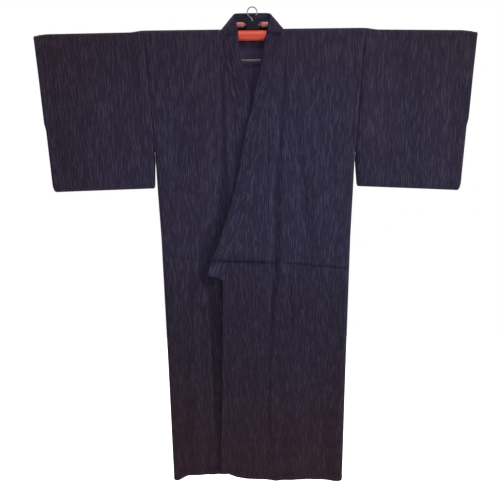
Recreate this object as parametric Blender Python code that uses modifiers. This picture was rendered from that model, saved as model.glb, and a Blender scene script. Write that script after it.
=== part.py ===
"""A cotton yukata robe on a kimono hanger, laid out flat as it hangs.

+X is the viewer's right and the wearer's left, +Y is behind the robe, +Z is up.
The origin is the inner crown of the hanger's hook, where a peg bears.
Everything else is measured down from the shoulder line, where the robe folds over the hanger.
"""

from collections import namedtuple
from math import cos, pi, sin, sqrt

import bmesh
import bpy
from mathutils import Vector

MM = 0.001
CM = 0.01

# Cloth
WALL = 1.4 * MM
SEAM_GAP = 0.3 * MM
BAND_HALF = 1.0 * MM  # half the neckband's folded thickness where it lies bare
PRESSED_HALF = 0.5 * MM  # and where the second band presses it
WRAP_INNER = 1.1 * MM
WRAP_WALL = 1.0 * MM
WRAP_OUTER = WRAP_INNER + WRAP_WALL
NECK_SEAM_GAP = 0.9 * MM  # leaves 0.3 mm at the corners where the band stands up from the shoulder

# Robe
SHOULDER_HALF = 32.7 * CM
ARMHOLE = 38.8 * CM
LEFT_FREE_GAP = 1.0 * CM  # how far the sleeve's free lower part hangs from the body at its bottom
RIGHT_FREE_GAP = 0.6 * CM
LEFT_END = 66.2 * CM
RIGHT_END = 65.4 * CM
END_LEAN = 1.3 * CM
SLEEVE_DROP = 46.6 * CM
LEFT_END_DROP = 48.2 * CM
RIGHT_END_DROP = 47.4 * CM
CUFF_OPENING = 26.0 * CM
CORNER = 2.6 * CM
CORNER_CUT = 0.9 * CM
INNER_CORNER = 1.2 * CM
INNER_CUT = 0.5 * CM
NECK_OFFSET = -4.5 * MM  # the neck hangs on the hanger's middle, and the robe a little to its left
KENSAKI = 22.6 * CM  # where the overlap panel's point meets the neckband
LAYER_LIFT = 7.0 * MM  # the upper front hangs this far before the lower one

# Depths of the hanging cloth, from the hanger's middle plane
FRONT_HANG = 11.0 * MM
BACK_HANG = 13.0 * MM
SLEEVE_HANG = 9.0 * MM
CUFF_CLOSES = 3.0 * CM  # drop below the cuff's opening over which its two sides come together
LEAVES_BODY = 0.25  # shares of the sleeve's width, and of its drop, over which its edges turn in
INNER_ROUND = 0.10
END_ROUND = 0.08
BOTTOM_ROUND = 0.05
HEM_FLARE = 0.35
SETTLE = 12.0 * CM  # drop over which the cloth leaves the tube's curve
WAVES_GROW = 20.0 * CM
SIDE_ROUND = 3.0 * CM
SIDE_CLOSES = 30.0 * CM

# Hanger
TUBE_RADIUS = 14.0 * MM
TUBE_HALF = 31.0 * CM
ROD_RADIUS = 8.5 * MM
ROD_END = 61.0 * CM
ROD_RISE = 1.0 * MM
FOLD_RADIUS = TUBE_RADIUS + WRAP_OUTER + 1.0 * MM  # the cloth's middle, with room for the bands
SLEEVE_FOLD_RADIUS = 11.0 * MM
TUBE_DROP = FOLD_RADIUS
ROD_STEP = 4.0 * MM  # the sleeve's top edge: down to the rod, along it, and past its end
STEP_WIDTH = 4.5 * CM
LEFT_SLOPE = 5.5 * MM  # how far each rod falls to its outer end
RIGHT_SLOPE = 2.5 * MM
END_DIP = 5.5 * MM
DIP_WIDTH = 6.0 * CM
SADDLE_SIZE = (3.8 * CM, 1.4 * CM)
SADDLE_TOP = 2.2 * CM
REST_RADIUS = 7.5 * MM
REST_TIP = 2.3 * CM
REST_OUTER = 4.7 * CM
REST_HEIGHT = 13.0 * MM
REST_TIP_LENGTH = 7.0 * MM
REST_TIP_START = 16.0  # degrees round the bullet tip where the pin comes out of it
REST_BEVEL = 1.5 * MM
PIN_RADIUS = 3.0 * MM
BAR_RADIUS = 3.8 * MM
BAR_DROP = 8.7 * CM
BAR_HALF = 5.9 * CM
WIRE_RADIUS = 1.6 * MM
HOOK_INNER = 13.0 * MM
HOOK_CENTRE = 4.75 * CM
SHOULDER_DROP = HOOK_CENTRE + HOOK_INNER  # from the origin down to the shoulder line

CLOTH_COLOUR = (0.024, 0.019, 0.036, 1.0)
BAND_COLOUR = (0.027, 0.022, 0.042, 1.0)
ORANGE = (0.72, 0.10, 0.05, 1.0)
SALMON = (0.50, 0.20, 0.16, 1.0)
GREY = (0.16, 0.14, 0.15, 1.0)
DARK = (0.020, 0.017, 0.022, 1.0)

# Rows of the cloth that follow the fold over the tube, then hang. The neckband's sections share them.
FOLD_ANGLES = (0.0, 22.5, 45.0, 67.5, 90.0)
CHEST_DROPS = (3.0, 4.5, 9.0, 13.5, 18.0, 21.8, 25.5, 29.2, 33.0, 37.0, 38.8)
BAND_DROPS = (41.4, 45.0, 48.9, 52.7, 57.0, 62.0, 67.0, 72.0, 76.3)
WAIST_DROPS = (45.0, 52.7, 62.0, 72.0)
SKIRT_DROPS = (84.0, 98.0, 113.0, 128.0, 141.0)
ACROSS_BODY = (0.0, 0.09, 0.19, 0.32, 0.47, 0.62, 0.76, 0.87, 0.94, 0.98, 1.0)
ACROSS_PANEL = (0.0, 0.25, 0.5, 0.75, 1.0)
FREE_LEVELS = (0.865, 0.90, 0.94, 0.965, 0.985, 1.0)  # rows of the sleeve's free part
ACROSS_SLEEVE = (0.0, 0.03, 0.09, 0.19, 0.33, 0.48, 0.63, 0.78, 0.90, 0.965, 1.0)
ACROSS_BAND = (0.0, 0.5, 0.96)

# The neckband: where its sewn edge and its free edge run, in centimetres from the middle and down
Band = namedtuple("Band", "seam_drop seam_x free_drop free_x")
LEFT_BAND = (
    Band(3.0, 7.9, 2.6, 3.5),
    Band(4.5, 7.4, 4.0, 3.0),
    Band(9.0, 6.7, 8.2, 2.3),
    Band(13.5, 5.9, 12.5, 1.5),
    Band(18.0, 5.0, 16.9, 0.5),
    Band(21.8, 4.3, 20.6, -0.5),
    Band(25.5, 3.4, 24.2, -1.4),
    Band(29.2, 2.5, 27.9, -2.4),
    Band(33.0, 1.7, 31.8, -3.3),
    Band(37.0, 0.9, 35.9, -4.2),
    Band(38.8, 0.6, 37.7, -4.5),
    Band(41.4, 0.2, 40.3, -4.9),
    Band(45.0, -0.5, 43.7, -5.6),
    Band(48.9, -1.5, 47.2, -6.5),
    Band(52.7, -2.7, 50.7, -7.5),
    Band(57.0, -4.3, 54.9, -8.9),
    Band(62.0, -6.0, 59.8, -10.5),
    Band(67.0, -7.8, 64.9, -12.3),
    Band(72.0, -9.8, 69.8, -14.5),
    Band(76.3, -11.0, 74.2, -15.8),
)
RIGHT_BAND = (
    Band(3.0, 9.0, 2.7, 4.7),
    Band(4.5, 9.0, 4.1, 4.7),
    Band(9.0, 8.5, 8.3, 4.0),
    Band(13.5, 7.7, 12.7, 2.9),
    Band(18.0, 7.0, 17.1, 1.9),
    Band(21.8, 6.4, 20.8, 1.1),
    Band(25.5, 5.5, 24.4, 0.2),
    Band(29.2, 4.4, 28.0, -0.7),
    Band(33.0, 3.2, 31.7, -1.8),
    Band(37.0, 2.1, 35.6, -2.9),
    Band(38.8, 1.6, 37.4, -3.4),
    Band(41.4, 0.9, 40.0, -4.1),
    Band(45.0, -0.1, 43.6, -5.0),
    Band(48.9, -1.2, 47.4, -6.0),
    Band(52.7, -2.4, 51.0, -7.1),
    Band(57.0, -3.9, 55.1, -8.5),
    Band(62.0, -5.5, 59.9, -10.0),
    Band(67.0, -7.1, 64.9, -11.6),
    Band(72.0, -8.7, 69.8, -13.4),
    Band(76.3, -9.9, 74.2, -14.6),
)
WRAP_END = 52.7  # the second neckband stops at this drop on both fronts

# The band where it turns over the shoulder and behind the neck: sewn edge by the fold's angle
# or by the share of the way across the back, and the free edge that stands above it, in centimetres
Turn = namedtuple("Turn", "angle seam_x free_x free_y free_z")
NECK_TURN = (
    Turn(-90.0, 8.60, 4.35, -1.55, -0.70),
    Turn(-67.5, 8.80, 4.85, -0.95, 0.85),
    Turn(-45.0, 8.90, 5.15, -0.25, 2.15),
    Turn(-22.5, 8.95, 5.35, 0.55, 3.40),
    Turn(0.0, 8.95, 5.45, 1.35, 4.50),
    Turn(22.5, 7.20, 4.90, 1.80, 4.90),
)
Across = namedtuple("Across", "share free_x free_y free_z")
NECK_BACK = (
    Across(0.33, 3.40, 2.05, 5.02),
    Across(0.67, 1.70, 2.15, 5.06),
    Across(1.00, 0.00, 2.20, 5.08),
)

# The body's side edge, and each overlap panel's seam and front edge
Side = namedtuple("Side", "drop half")
SIDE = (
    Side(0, 32.7),
    Side(17, 32.0),
    Side(29, 31.4),
    Side(38.8, 31.1),
    Side(48, 30.9),
    Side(62, 30.5),
    Side(110, 30.2),
    Side(151, 30.1),
)
Overlap = namedtuple("Overlap", "drop seam front")
LEFT_OVERLAP = (
    Overlap(22.6, 4.14, 3.8),
    Overlap(50, 3.91, -0.6),
    Overlap(76.3, 3.72, -11.0),
    Overlap(98, 3.56, -11.7),
    Overlap(120, 3.39, -12.5),
    Overlap(151, 3.19, -13.5),
)
RIGHT_OVERLAP = (
    Overlap(22.6, 6.21, 5.9),
    Overlap(50, 5.50, 0.6),
    Overlap(76.3, 5.18, -9.9),
    Overlap(98, 5.14, -10.5),
    Overlap(120, 5.11, -11.1),
    Overlap(151, 5.11, -11.8),
)

# How far down each front's hem hangs, across the robe
Hem = namedtuple("Hem", "x drop")
UPPER_HEM = (
    Hem(-13.4, 147.0),
    Hem(-10.4, 146.9),
    Hem(-7.6, 148.2),
    Hem(-4.7, 148.9),
    Hem(1.0, 149.1),
    Hem(6.6, 149.8),
    Hem(13.6, 149.2),
    Hem(18.1, 149.4),
    Hem(30.0, 150.3),
)
LOWER_HEM = (
    Hem(-30.0, 149.8),
    Hem(-28.0, 149.7),
    Hem(-25.0, 148.0),
    Hem(-21.0, 147.4),
    Hem(13.0, 147.2),
)
BACK_HEM = (Hem(-30.0, 149.8), Hem(0.0, 148.6), Hem(30.0, 150.3))

# The largest folds. Each is a line down the cloth: drop, place across, half width in centimetres,
# and depth in millimetres, in towards the hollow if positive and proud if negative.
Fold = namedtuple("Fold", "drop x half_width depth")
SHARED_FOLDS = (
    (
        Fold(2, 9.0, 1.0, 0),
        Fold(12, 9.1, 1.1, 3),
        Fold(24, 8.5, 1.3, 4),
        Fold(36, 7.4, 1.5, 5),
        Fold(48, 6.6, 1.8, 7),
        Fold(62, 6.3, 2.0, 9),
        Fold(76, 6.1, 1.9, 8),
        Fold(92, 5.5, 1.5, 4),
        Fold(125, 4.8, 1.3, 2),
        Fold(151, 4.5, 1.3, 1),
    ),
)
UPPER_FOLDS = (
    (Fold(8, 13.0, 2.0, 0), Fold(24, 15.3, 2.6, -3), Fold(50, 18.9, 3.0, -2.5), Fold(80, 20.8, 3.0, 0)),
    (Fold(40, 13.4, 2.2, 0), Fold(62, 15.6, 2.6, 3), Fold(80, 17.3, 2.6, 0)),
    (Fold(80, 23.8, 3.0, 0), Fold(112, 23.2, 3.2, 3), Fold(151, 22.7, 3.4, 4)),
    (Fold(84, 12.3, 3.0, 0), Fold(116, 12.8, 3.0, -2.5), Fold(151, 13.1, 3.2, -4)),
)
LOWER_FOLDS = (
    (
        Fold(4, -10.8, 1.3, 0),
        Fold(14, -10.8, 1.5, 4),
        Fold(36, -10.4, 1.7, 5),
        Fold(48, -10.8, 2.1, 7),
        Fold(60, -13.6, 2.6, 9),
        Fold(72, -15.3, 2.9, 9.5),
        Fold(100, -15.3, 2.7, 9),
        Fold(122, -15.6, 2.8, 6),
        Fold(151, -15.9, 3.0, 2),
    ),
    (Fold(6, -14.5, 1.6, 0), Fold(22, -19.7, 2.0, 3), Fold(33, -23.1, 2.2, 2.5), Fold(46, -25.1, 2.2, 0)),
    (Fold(12, -16.0, 2.0, 0), Fold(25, -16.9, 2.3, -3), Fold(54, -17.2, 2.4, -3), Fold(80, -19.7, 2.6, 0)),
    (Fold(76, -25.7, 2.8, 0), Fold(115, -25.4, 3.0, 3), Fold(151, -25.1, 3.2, 4)),
    (Fold(88, -20.7, 2.2, 0), Fold(118, -21.0, 2.4, -2.5), Fold(151, -21.3, 2.6, -3.5)),
)
BACK_FOLDS = (
    (Fold(8, -13, 3.0, 0), Fold(40, -12.4, 3.6, -3), Fold(100, -11.6, 4, -2.5), Fold(151, -11, 4.2, -4)),
    (Fold(8, 12.5, 3.0, 0), Fold(46, 12, 3.4, -3), Fold(96, 11.4, 4, -2), Fold(151, 10.6, 4.2, -4)),
    (Fold(30, -22.5, 2.6, 0), Fold(80, -22.0, 3.0, 3), Fold(151, -21.4, 3.4, 4)),
    (Fold(26, 23.0, 2.6, 0), Fold(76, 22.2, 3.0, 3), Fold(151, 21.0, 3.4, 4)),
    (Fold(20, 0.0, 2.4, 0), Fold(60, 0.0, 2.6, 2.5), Fold(151, 0.0, 3.0, 3)),
)
# Soft waves across each sleeve: place along it as a share of its width, half width as a share, depth
Wave = namedtuple("Wave", "share half_width depth")
LEFT_WAVES = (Wave(0.30, 0.10, 2.0), Wave(0.62, 0.12, -2.0), Wave(0.85, 0.06, 1.5))
RIGHT_WAVES = (Wave(0.22, 0.09, -3.0), Wave(0.46, 0.10, 4.0), Wave(0.70, 0.10, -4.0), Wave(0.88, 0.06, 3.0))
Sleeve = namedtuple("Sleeve", "sign end end_drop free_gap waves")
LEFT_SLEEVE = Sleeve(1.0, LEFT_END, LEFT_END_DROP, LEFT_FREE_GAP, LEFT_WAVES)
RIGHT_SLEEVE = Sleeve(-1.0, RIGHT_END, RIGHT_END_DROP, RIGHT_FREE_GAP, RIGHT_WAVES)


def clamp(value):
    return min(1.0, max(0.0, value))


def ease(value):
    t = clamp(value)
    return t * t * (3.0 - 2.0 * t)


def mix(a, b, share):
    return a + (b - a) * share


def between(rows, place, key, wanted):
    """The wanted column at a place, read straight between the rows on either side of it."""
    low = rows[0]
    for high in rows[1:]:
        if place <= getattr(high, key):
            break
        low = high
    if low is high:
        return getattr(high, wanted)
    span = getattr(high, key) - getattr(low, key)
    share = clamp((place - getattr(low, key)) / span)
    return mix(getattr(low, wanted), getattr(high, wanted), share)


def swell(reach):
    """A soft rise and fall: 1 at its middle, a half at a reach of about 0.9, and 0 from 1.6 on."""
    t = min(1.0, abs(reach) / 1.6)
    return (1.0 - t * t) ** 2


def folds_at(folds, x, drop):
    """How far the folds take the cloth in at a point, in metres."""
    total = 0.0
    for rows in folds:
        d = drop / CM
        if d <= rows[0].drop:
            continue
        place = between(rows, d, "drop", "x") * CM
        width = between(rows, d, "drop", "half_width") * CM
        depth = between(rows, d, "drop", "depth") * MM
        total += depth * swell((x - place) / width)
    return total


def side_half(drop):
    return between(SIDE, drop / CM, "drop", "half") * CM


def fold_radius(x):
    return mix(FOLD_RADIUS, SLEEVE_FOLD_RADIUS, ease((abs(x) - SHOULDER_HALF) / STEP_WIDTH))


def top_drop(x):
    """How far the robe's top edge is below the shoulder line: the sleeves rest on slimmer rods."""
    reach = abs(x)
    on_rod = ROD_STEP * ease((reach - SHOULDER_HALF) / STEP_WIDTH)
    slope = (LEFT_SLOPE if x > 0 else RIGHT_SLOPE) * clamp((reach - TUBE_HALF) / (ROD_END - TUBE_HALF))
    past_rod = END_DIP * ease((reach - ROD_END) / DIP_WIDTH)
    return on_rod + slope + past_rod


def fold_point(x, angle):
    """A point of the cloth where it goes over the tube or rod: negative angles are in front."""
    radius = fold_radius(x)
    turn = angle * pi / 180.0
    return Vector((x, radius * sin(turn), -top_drop(x) - radius * (1.0 - cos(turn))))


def armhole_closed(drop):
    """0 down the armhole, rising to 1 at its lower end, where each piece's front and back come together."""
    return ease((drop - SIDE_CLOSES) / (ARMHOLE - SIDE_CLOSES))


def side_factor(x, drop):
    """1 where the cloth hangs full, 0 where front and back meet at the side seam."""
    half = side_half(drop)
    q = clamp((abs(x) - (half - SIDE_ROUND)) / SIDE_ROUND)
    return 1.0 - armhole_closed(drop) * (1.0 - sqrt(1.0 - q * q))


def settled(x, drop):
    radius = fold_radius(x)
    return ease((drop - top_drop(x) - radius) / SETTLE)


def flare(drop):
    return 1.0 + HEM_FLARE * (drop / (150 * CM)) ** 2


def front_depth(x, drop, upper):
    """How far in front of the middle plane a front layer hangs, as a negative Y."""
    folds = folds_at(SHARED_FOLDS, x, drop) + folds_at(UPPER_FOLDS if upper else LOWER_FOLDS, x, drop)
    lift = LAYER_LIFT if upper else 0.0
    hang = -FRONT_HANG * flare(drop) - lift + folds
    return mix(-fold_radius(x), hang, settled(x, drop)) * side_factor(x, drop)


def back_depth(x, drop):
    hang = BACK_HANG * flare(drop) - folds_at(BACK_FOLDS, x, drop)
    return mix(fold_radius(x), hang, settled(x, drop)) * side_factor(x, drop)


def new_object(name, mesh, collection, parent, material):
    made = bpy.data.objects.new(name, mesh)
    made.parent = parent
    mesh.materials.append(material)
    collection.objects.link(made)
    return made


def sheet(name, rows, wall, collection, parent, material):
    """Cloth through rows of points, given its wall. Points at the same place, as at a fold, are one."""
    shape = bmesh.new()
    made = {}

    def vertex(point):
        key = tuple(round(value / (0.05 * MM)) for value in point)
        if key not in made:
            made[key] = shape.verts.new(point)
        return made[key]

    grid = [[vertex(point) for point in row] for row in rows]
    for lower, upper in zip(grid, grid[1:]):
        for a, b, c, d in zip(lower, lower[1:], upper[1:], upper):
            corners = list(dict.fromkeys((a, b, c, d)))
            if len(corners) > 2:
                shape.faces.new(corners)
    bmesh.ops.recalc_face_normals(shape, faces=shape.faces)
    mesh = bpy.data.meshes.new(name)
    shape.to_mesh(mesh)
    shape.free()
    mesh.shade_smooth()
    cloth = new_object(name, mesh, collection, parent, material)
    thicken = cloth.modifiers.new("cloth wall", "SOLIDIFY")
    thicken.thickness = wall
    thicken.offset = 0.0
    return cloth


def loft(name, sections, shares, collection, parent, material):
    """A closed solid through rings of points, capped at both ends.

    Each face is split from its point of lower share to the higher one on the next ring, so that
    bands which lie on each other are split alike and stay parallel where they twist.
    """
    shape = bmesh.new()
    rings = [[shape.verts.new(point) for point in section] for section in sections]
    count = len(rings[0])
    for ring, following in zip(rings, rings[1:]):
        for i in range(count):
            j = (i + 1) % count
            if shares[i] <= shares[j]:
                shape.faces.new((ring[i], ring[j], following[j]))
                shape.faces.new((ring[i], following[j], following[i]))
            else:
                shape.faces.new((ring[i], ring[j], following[i]))
                shape.faces.new((ring[j], following[j], following[i]))
    shape.faces.new(list(reversed(rings[0])))
    shape.faces.new(rings[-1])
    bmesh.ops.triangulate(shape, faces=[face for face in shape.faces if len(face.verts) > 4])
    bmesh.ops.recalc_face_normals(shape, faces=shape.faces)
    mesh = bpy.data.meshes.new(name)
    shape.to_mesh(mesh)
    shape.free()
    return new_object(name, mesh, collection, parent, material)


# ---- body lengths


def front_inner_edge(drop, bands, overlap):
    """Where a front's inner edge is: along the neckband, then down the overlap panel's seam."""
    d = drop / CM
    if drop < KENSAKI:
        return between(bands, d, "seam_drop", "seam_x") * CM
    return between(overlap, d, "drop", "seam") * CM + SEAM_GAP / 2


def hanging_rows(inner_edge, sign, depth, hem, drops):
    """Rows of a hanging sheet from its inner edge to the side, ending at its hem."""
    rows = []
    for drop in list(drops) + [None]:
        row = []
        for share in ACROSS_BODY:
            level = drop if drop is not None else 150 * CM
            x = sign * mix(inner_edge(level), side_half(level), share)
            down = level if drop is not None else between(hem, x / CM, "x", "drop") * CM
            row.append(Vector((x, depth(x, down), -down)))
        rows.append(row)
    return rows


def body(name, sign, bands, overlap, hem, collection, parent, material):
    """One length of cloth: front hem, up the front, over the shoulder and down the back to the back hem."""
    upper = sign > 0
    drops = sorted([drop * CM for drop in CHEST_DROPS + WAIST_DROPS + SKIRT_DROPS] + [KENSAKI])
    front = hanging_rows(
        lambda drop: front_inner_edge(drop, bands, overlap),
        sign,
        lambda x, drop: front_depth(x, drop, upper),
        hem,
        drops,
    )
    back = hanging_rows(lambda drop: SEAM_GAP / 2, sign, back_depth, BACK_HEM, drops)
    turned_over = [(turn.seam_x * CM + sign * NECK_OFFSET, turn.angle) for turn in NECK_TURN]
    turned_over += [(SEAM_GAP / 2, angle) for angle in FOLD_ANGLES[2:]]
    over = []
    for inner, angle in turned_over:
        over.append([fold_point(sign * mix(inner, SHOULDER_HALF, share), angle) for share in ACROSS_BODY])
    return sheet(name, front[::-1] + over + back, WALL, collection, parent, material)


def overlap_panel(name, sign, bands, overlap, hem, collection, parent, material):
    """The okumi: from its point on the neckband, along the band's seam, then down its own front edge."""
    upper = sign > 0
    below = [drop * CM for drop in CHEST_DROPS + BAND_DROPS + SKIRT_DROPS if drop * CM > KENSAKI]
    drops = [KENSAKI] + below
    rows = []
    for drop in drops + [None]:
        row = []
        for share in ACROSS_PANEL:
            level = drop if drop is not None else 150 * CM
            d = level / CM
            seam = between(overlap, d, "drop", "seam") * CM - SEAM_GAP / 2
            if d <= bands[-1].seam_drop:
                edge = between(bands, d, "seam_drop", "seam_x") * CM
            else:
                edge = between(overlap, d, "drop", "front") * CM
            x = sign * mix(edge, seam, share)
            down = level if drop is not None else between(hem, x / CM, "x", "drop") * CM
            row.append(Vector((x, front_depth(x, down, upper), -down)))
        rows.append(row)
    return sheet(name, rows, WALL, collection, parent, material)


# ---- sleeves


def corner_cut(drop, bottom, height, cut):
    """How far a rounded lower corner takes a vertical edge in at a drop."""
    q = clamp((drop - (bottom - height)) / height)
    return cut * (1.0 - sqrt(1.0 - q * q))


def sleeve_inner(drop, free_gap):
    along_seam = side_half(drop) + SEAM_GAP + WALL * armhole_closed(drop)
    if drop <= ARMHOLE:
        return along_seam
    spread = free_gap * (drop - ARMHOLE) / (SLEEVE_DROP - ARMHOLE)
    return along_seam + spread + corner_cut(drop, SLEEVE_DROP, INNER_CORNER, INNER_CUT)


def sleeve_outer(drop, shape):
    leaned = shape.end - END_LEAN * drop / shape.end_drop
    return leaned - corner_cut(drop, shape.end_drop, CORNER, CORNER_CUT)


def wave_at(waves, share, drop):
    total = 0.0
    for wave in waves:
        total += wave.depth * MM * swell((share - wave.share) / wave.half_width)
    return total * ease(drop / WAVES_GROW)


def rounded(share, width):
    """From 0 at an edge where two sides meet, to 1 a width away from it, as a round fold does."""
    q = clamp(1.0 - share / width)
    return sqrt(1.0 - q * q)


def armhole_depth(sign, drop, front):
    """Where the body's side edge is at a drop, so that the sleeve meets it there."""
    if drop >= ARMHOLE:
        return 0.0
    x = sign * side_half(drop)
    if front:
        return front_depth(x, drop, sign > 0)
    return back_depth(x, drop)


def sleeve_point(shape, share, level, front):
    """A point of one side of a sleeve. Its level runs from 0 at the top to 1 at the folded bottom."""
    drop = level * mix(SLEEVE_DROP, shape.end_drop, share)
    inner = sleeve_inner(min(drop, SLEEVE_DROP), shape.free_gap)
    x = shape.sign * mix(inner, sleeve_outer(drop, shape), share)
    drop = max(drop, top_drop(x) + fold_radius(x))
    side = -1.0 if front else 1.0
    hang = mix(fold_radius(x), SLEEVE_HANG, settled(x, drop)) * side + wave_at(shape.waves, share, drop)
    leave = mix(ease(share / LEAVES_BODY), rounded(share, INNER_ROUND), armhole_closed(drop))
    depth = mix(armhole_depth(shape.sign, drop, front), hang, leave)
    sewn = ease((drop - CUFF_OPENING) / CUFF_CLOSES)
    depth *= mix(1.0, rounded(1.0 - share, END_ROUND), sewn)
    depth *= rounded(1.0 - level, BOTTOM_ROUND)
    return Vector((x, depth, -drop))


def sleeve(name, shape, collection, parent, material):
    """A sleeve folded at the bottom: one side, over the rod, and the other side back to the same fold."""
    levels = [drop * CM / SLEEVE_DROP for drop in CHEST_DROPS] + list(FREE_LEVELS)
    front = []
    back = []
    for level in levels:
        front.append([sleeve_point(shape, share, level, True) for share in ACROSS_SLEEVE])
        back.append([sleeve_point(shape, share, level, False) for share in ACROSS_SLEEVE])
    over = []
    for angle in [-angle for angle in reversed(FOLD_ANGLES)] + list(FOLD_ANGLES[1:]):
        row = []
        for share in ACROSS_SLEEVE:
            x = shape.sign * mix(SHOULDER_HALF + SEAM_GAP, shape.end, share)
            row.append(fold_point(x, angle))
        over.append(row)
    return sheet(name, front[::-1] + over + back, WALL, collection, parent, material)


# ---- neckbands

# One cross-section's place: its point on the sewn edge, its point on the free edge, and the front layer
# that it lies in (True for the upper one, False for the lower, None where it stands up round the neck)
Station = namedtuple("Station", "seam free layer")


def neck_stations(sign):
    """From the front of the shoulder, over it, to the middle of the back."""
    stations = []
    for row in NECK_TURN:
        free = Vector((sign * row.free_x + NECK_OFFSET / CM, row.free_y, row.free_z)) * CM
        stations.append(Station(fold_point(sign * row.seam_x * CM + NECK_OFFSET, row.angle), free, None))
    corner = stations[-1].seam
    middle = fold_point(NECK_OFFSET, FOLD_ANGLES[2])
    for row in NECK_BACK:
        free = Vector((sign * row.free_x + NECK_OFFSET / CM, row.free_y, row.free_z)) * CM
        stations.append(Station(corner.lerp(middle, row.share), free, None))
    halved = []
    for station, following in zip(stations, stations[1:]):
        seam = station.seam.lerp(following.seam, 0.5)
        free = station.free.lerp(following.free, 0.5)
        halved += [station, Station(seam, free, None)]
    return halved + stations[-1:]


def front_stations(sign, bands):
    """From the lower end of a front up to the shoulder."""
    stations = []
    for band in reversed(bands):
        seam = Vector((sign * band.seam_x, 0.0, -band.seam_drop)) * CM
        free = Vector((sign * band.free_x, 0.0, -band.free_drop)) * CM
        stations.append(Station(seam, free, sign > 0))
    return stations


def band_stations():
    """From the end on the wearer's right front, round the neck, to the end on the left front."""
    right = front_stations(-1.0, RIGHT_BAND) + neck_stations(-1.0)
    left = front_stations(1.0, LEFT_BAND) + neck_stations(1.0)
    return right + left[-2::-1]


def station_point(station, share):
    """A point of the band's middle surface: on the front layer's own surface where it lies on the front."""
    across = station.free - station.seam
    moved = NECK_SEAM_GAP / across.length
    place = station.seam + across * mix(moved, 1.0, share)
    if station.layer is not None:
        place.y = front_depth(place.x, -place.z, station.layer)
    return place


def band_sections(stations):
    """At each station: middle points, free edge, the ways across and out, and whether it is bare."""
    sections = []
    for i, station in enumerate(stations):
        before = stations[max(i - 1, 0)]
        after = stations[min(i + 1, len(stations) - 1)]
        along = station_point(after, 0.5) - station_point(before, 0.5)
        middles = [station_point(station, share) for share in ACROSS_BAND]
        edge = station_point(station, 1.0)
        across = (edge - middles[0]).normalized()
        bare = station.layer is not None and -station.seam.z > WRAP_END * CM + SEAM_GAP
        sections.append((middles, edge, across, along.cross(across).normalized(), bare))
    return sections


def collar(sections, collection, parent, material):
    rings = []
    for middles, edge, across, out, bare in sections:
        half = BAND_HALF if bare else PRESSED_HALF
        face = [point + out * half for point in middles]
        back = [point - out * half for point in reversed(middles)]
        rings.append(face + [edge] + back)
    shares = ACROSS_BAND + (1.0,) + ACROSS_BAND[::-1]
    return loft("collar", rings, shares, collection, parent, material)


def over_collar(sections, collection, parent, material):
    """Wrapped round the first band's free edge, with a face in front of it and one behind."""
    rings = []
    for middles, edge, across, out, bare in sections:
        if bare:
            continue
        loops = []
        for half in (WRAP_OUTER, WRAP_INNER):
            tip = edge + across * (half - PRESSED_HALF)
            face = [point + out * half for point in middles]
            back = [point - out * half for point in reversed(middles)]
            turn = [tip + out * half * 0.6, tip - out * half * 0.6]
            loops.append(face + turn + back)
        rings.append(loops[0] + loops[1][::-1])
    shares = ACROSS_BAND + (1.0, 1.0) + ACROSS_BAND[::-1]
    return loft("over_collar", rings, shares + shares[::-1], collection, parent, material)


# ---- hanger


def cylinder(name, radius, length, sides, collection, parent, material):
    """A round bar along X, about its own middle."""
    bpy.ops.mesh.primitive_cylinder_add(vertices=sides, radius=radius, depth=length)
    made = bpy.context.object
    made.name = name
    made.data.transform(Vector((0, 0, 1)).rotation_difference(Vector((1, 0, 0))).to_matrix().to_4x4())
    made.data.materials.append(material)
    for other in list(made.users_collection):
        other.objects.unlink(made)
    collection.objects.link(made)
    made.parent = parent
    bevel = made.modifiers.new("rounded ends", "BEVEL")
    bevel.width = min(2 * MM, radius * 0.3)
    bevel.segments = 2
    bevel.limit_method = "ANGLE"
    return made


def turned(name, profile, steps, collection, parent, material):
    """A profile of distance along X and radius, turned round the X axis."""
    mesh = bpy.data.meshes.new(name)
    points = [(x, 0.0, radius) for x, radius in profile]
    edges = [(i, i + 1) for i in range(len(points) - 1)]
    mesh.from_pydata(points, edges, [])
    made = new_object(name, mesh, collection, parent, material)
    screw = made.modifiers.new("turned", "SCREW")
    screw.axis = "X"
    screw.steps = steps
    screw.render_steps = steps
    screw.use_merge_vertices = True
    screw.merge_threshold = 0.01 * MM
    screw.use_normal_calculate = True
    return made


def wire(name, points, radius, collection, parent, material):
    """A bent rod through points, with filled ends."""
    curve = bpy.data.curves.new(name, "CURVE")
    curve.dimensions = "3D"
    curve.bevel_depth = radius
    curve.bevel_resolution = 2
    curve.use_fill_caps = True
    spline = curve.splines.new("POLY")
    spline.points.add(len(points) - 1)
    for slot, point in zip(spline.points, points):
        slot.co = (*point, 1.0)
    made = bpy.data.objects.new(name, curve)
    made.parent = parent
    curve.materials.append(material)
    collection.objects.link(made)
    return made


def hook_path():
    """Up from the saddle, out to the left, and round the crown to a short tip."""
    radius = HOOK_INNER + WIRE_RADIUS
    centre = Vector((0, 0, HOOK_CENTRE))
    path = [Vector((0, 0, SADDLE_TOP + SEAM_GAP)), Vector((0, 0, SADDLE_TOP + 4 * MM))]
    start, end, steps = 228.0, -42.0, 18
    first = centre + Vector((cos(start * pi / 180), 0, sin(start * pi / 180))) * radius
    path.append(path[-1].lerp(first, 0.5) + Vector((2.2 * MM, 0, 0)))
    for i in range(steps + 1):
        turn = mix(start, end, i / steps) * pi / 180
        path.append(centre + Vector((cos(turn), 0, sin(turn))) * radius)
    return path


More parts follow.
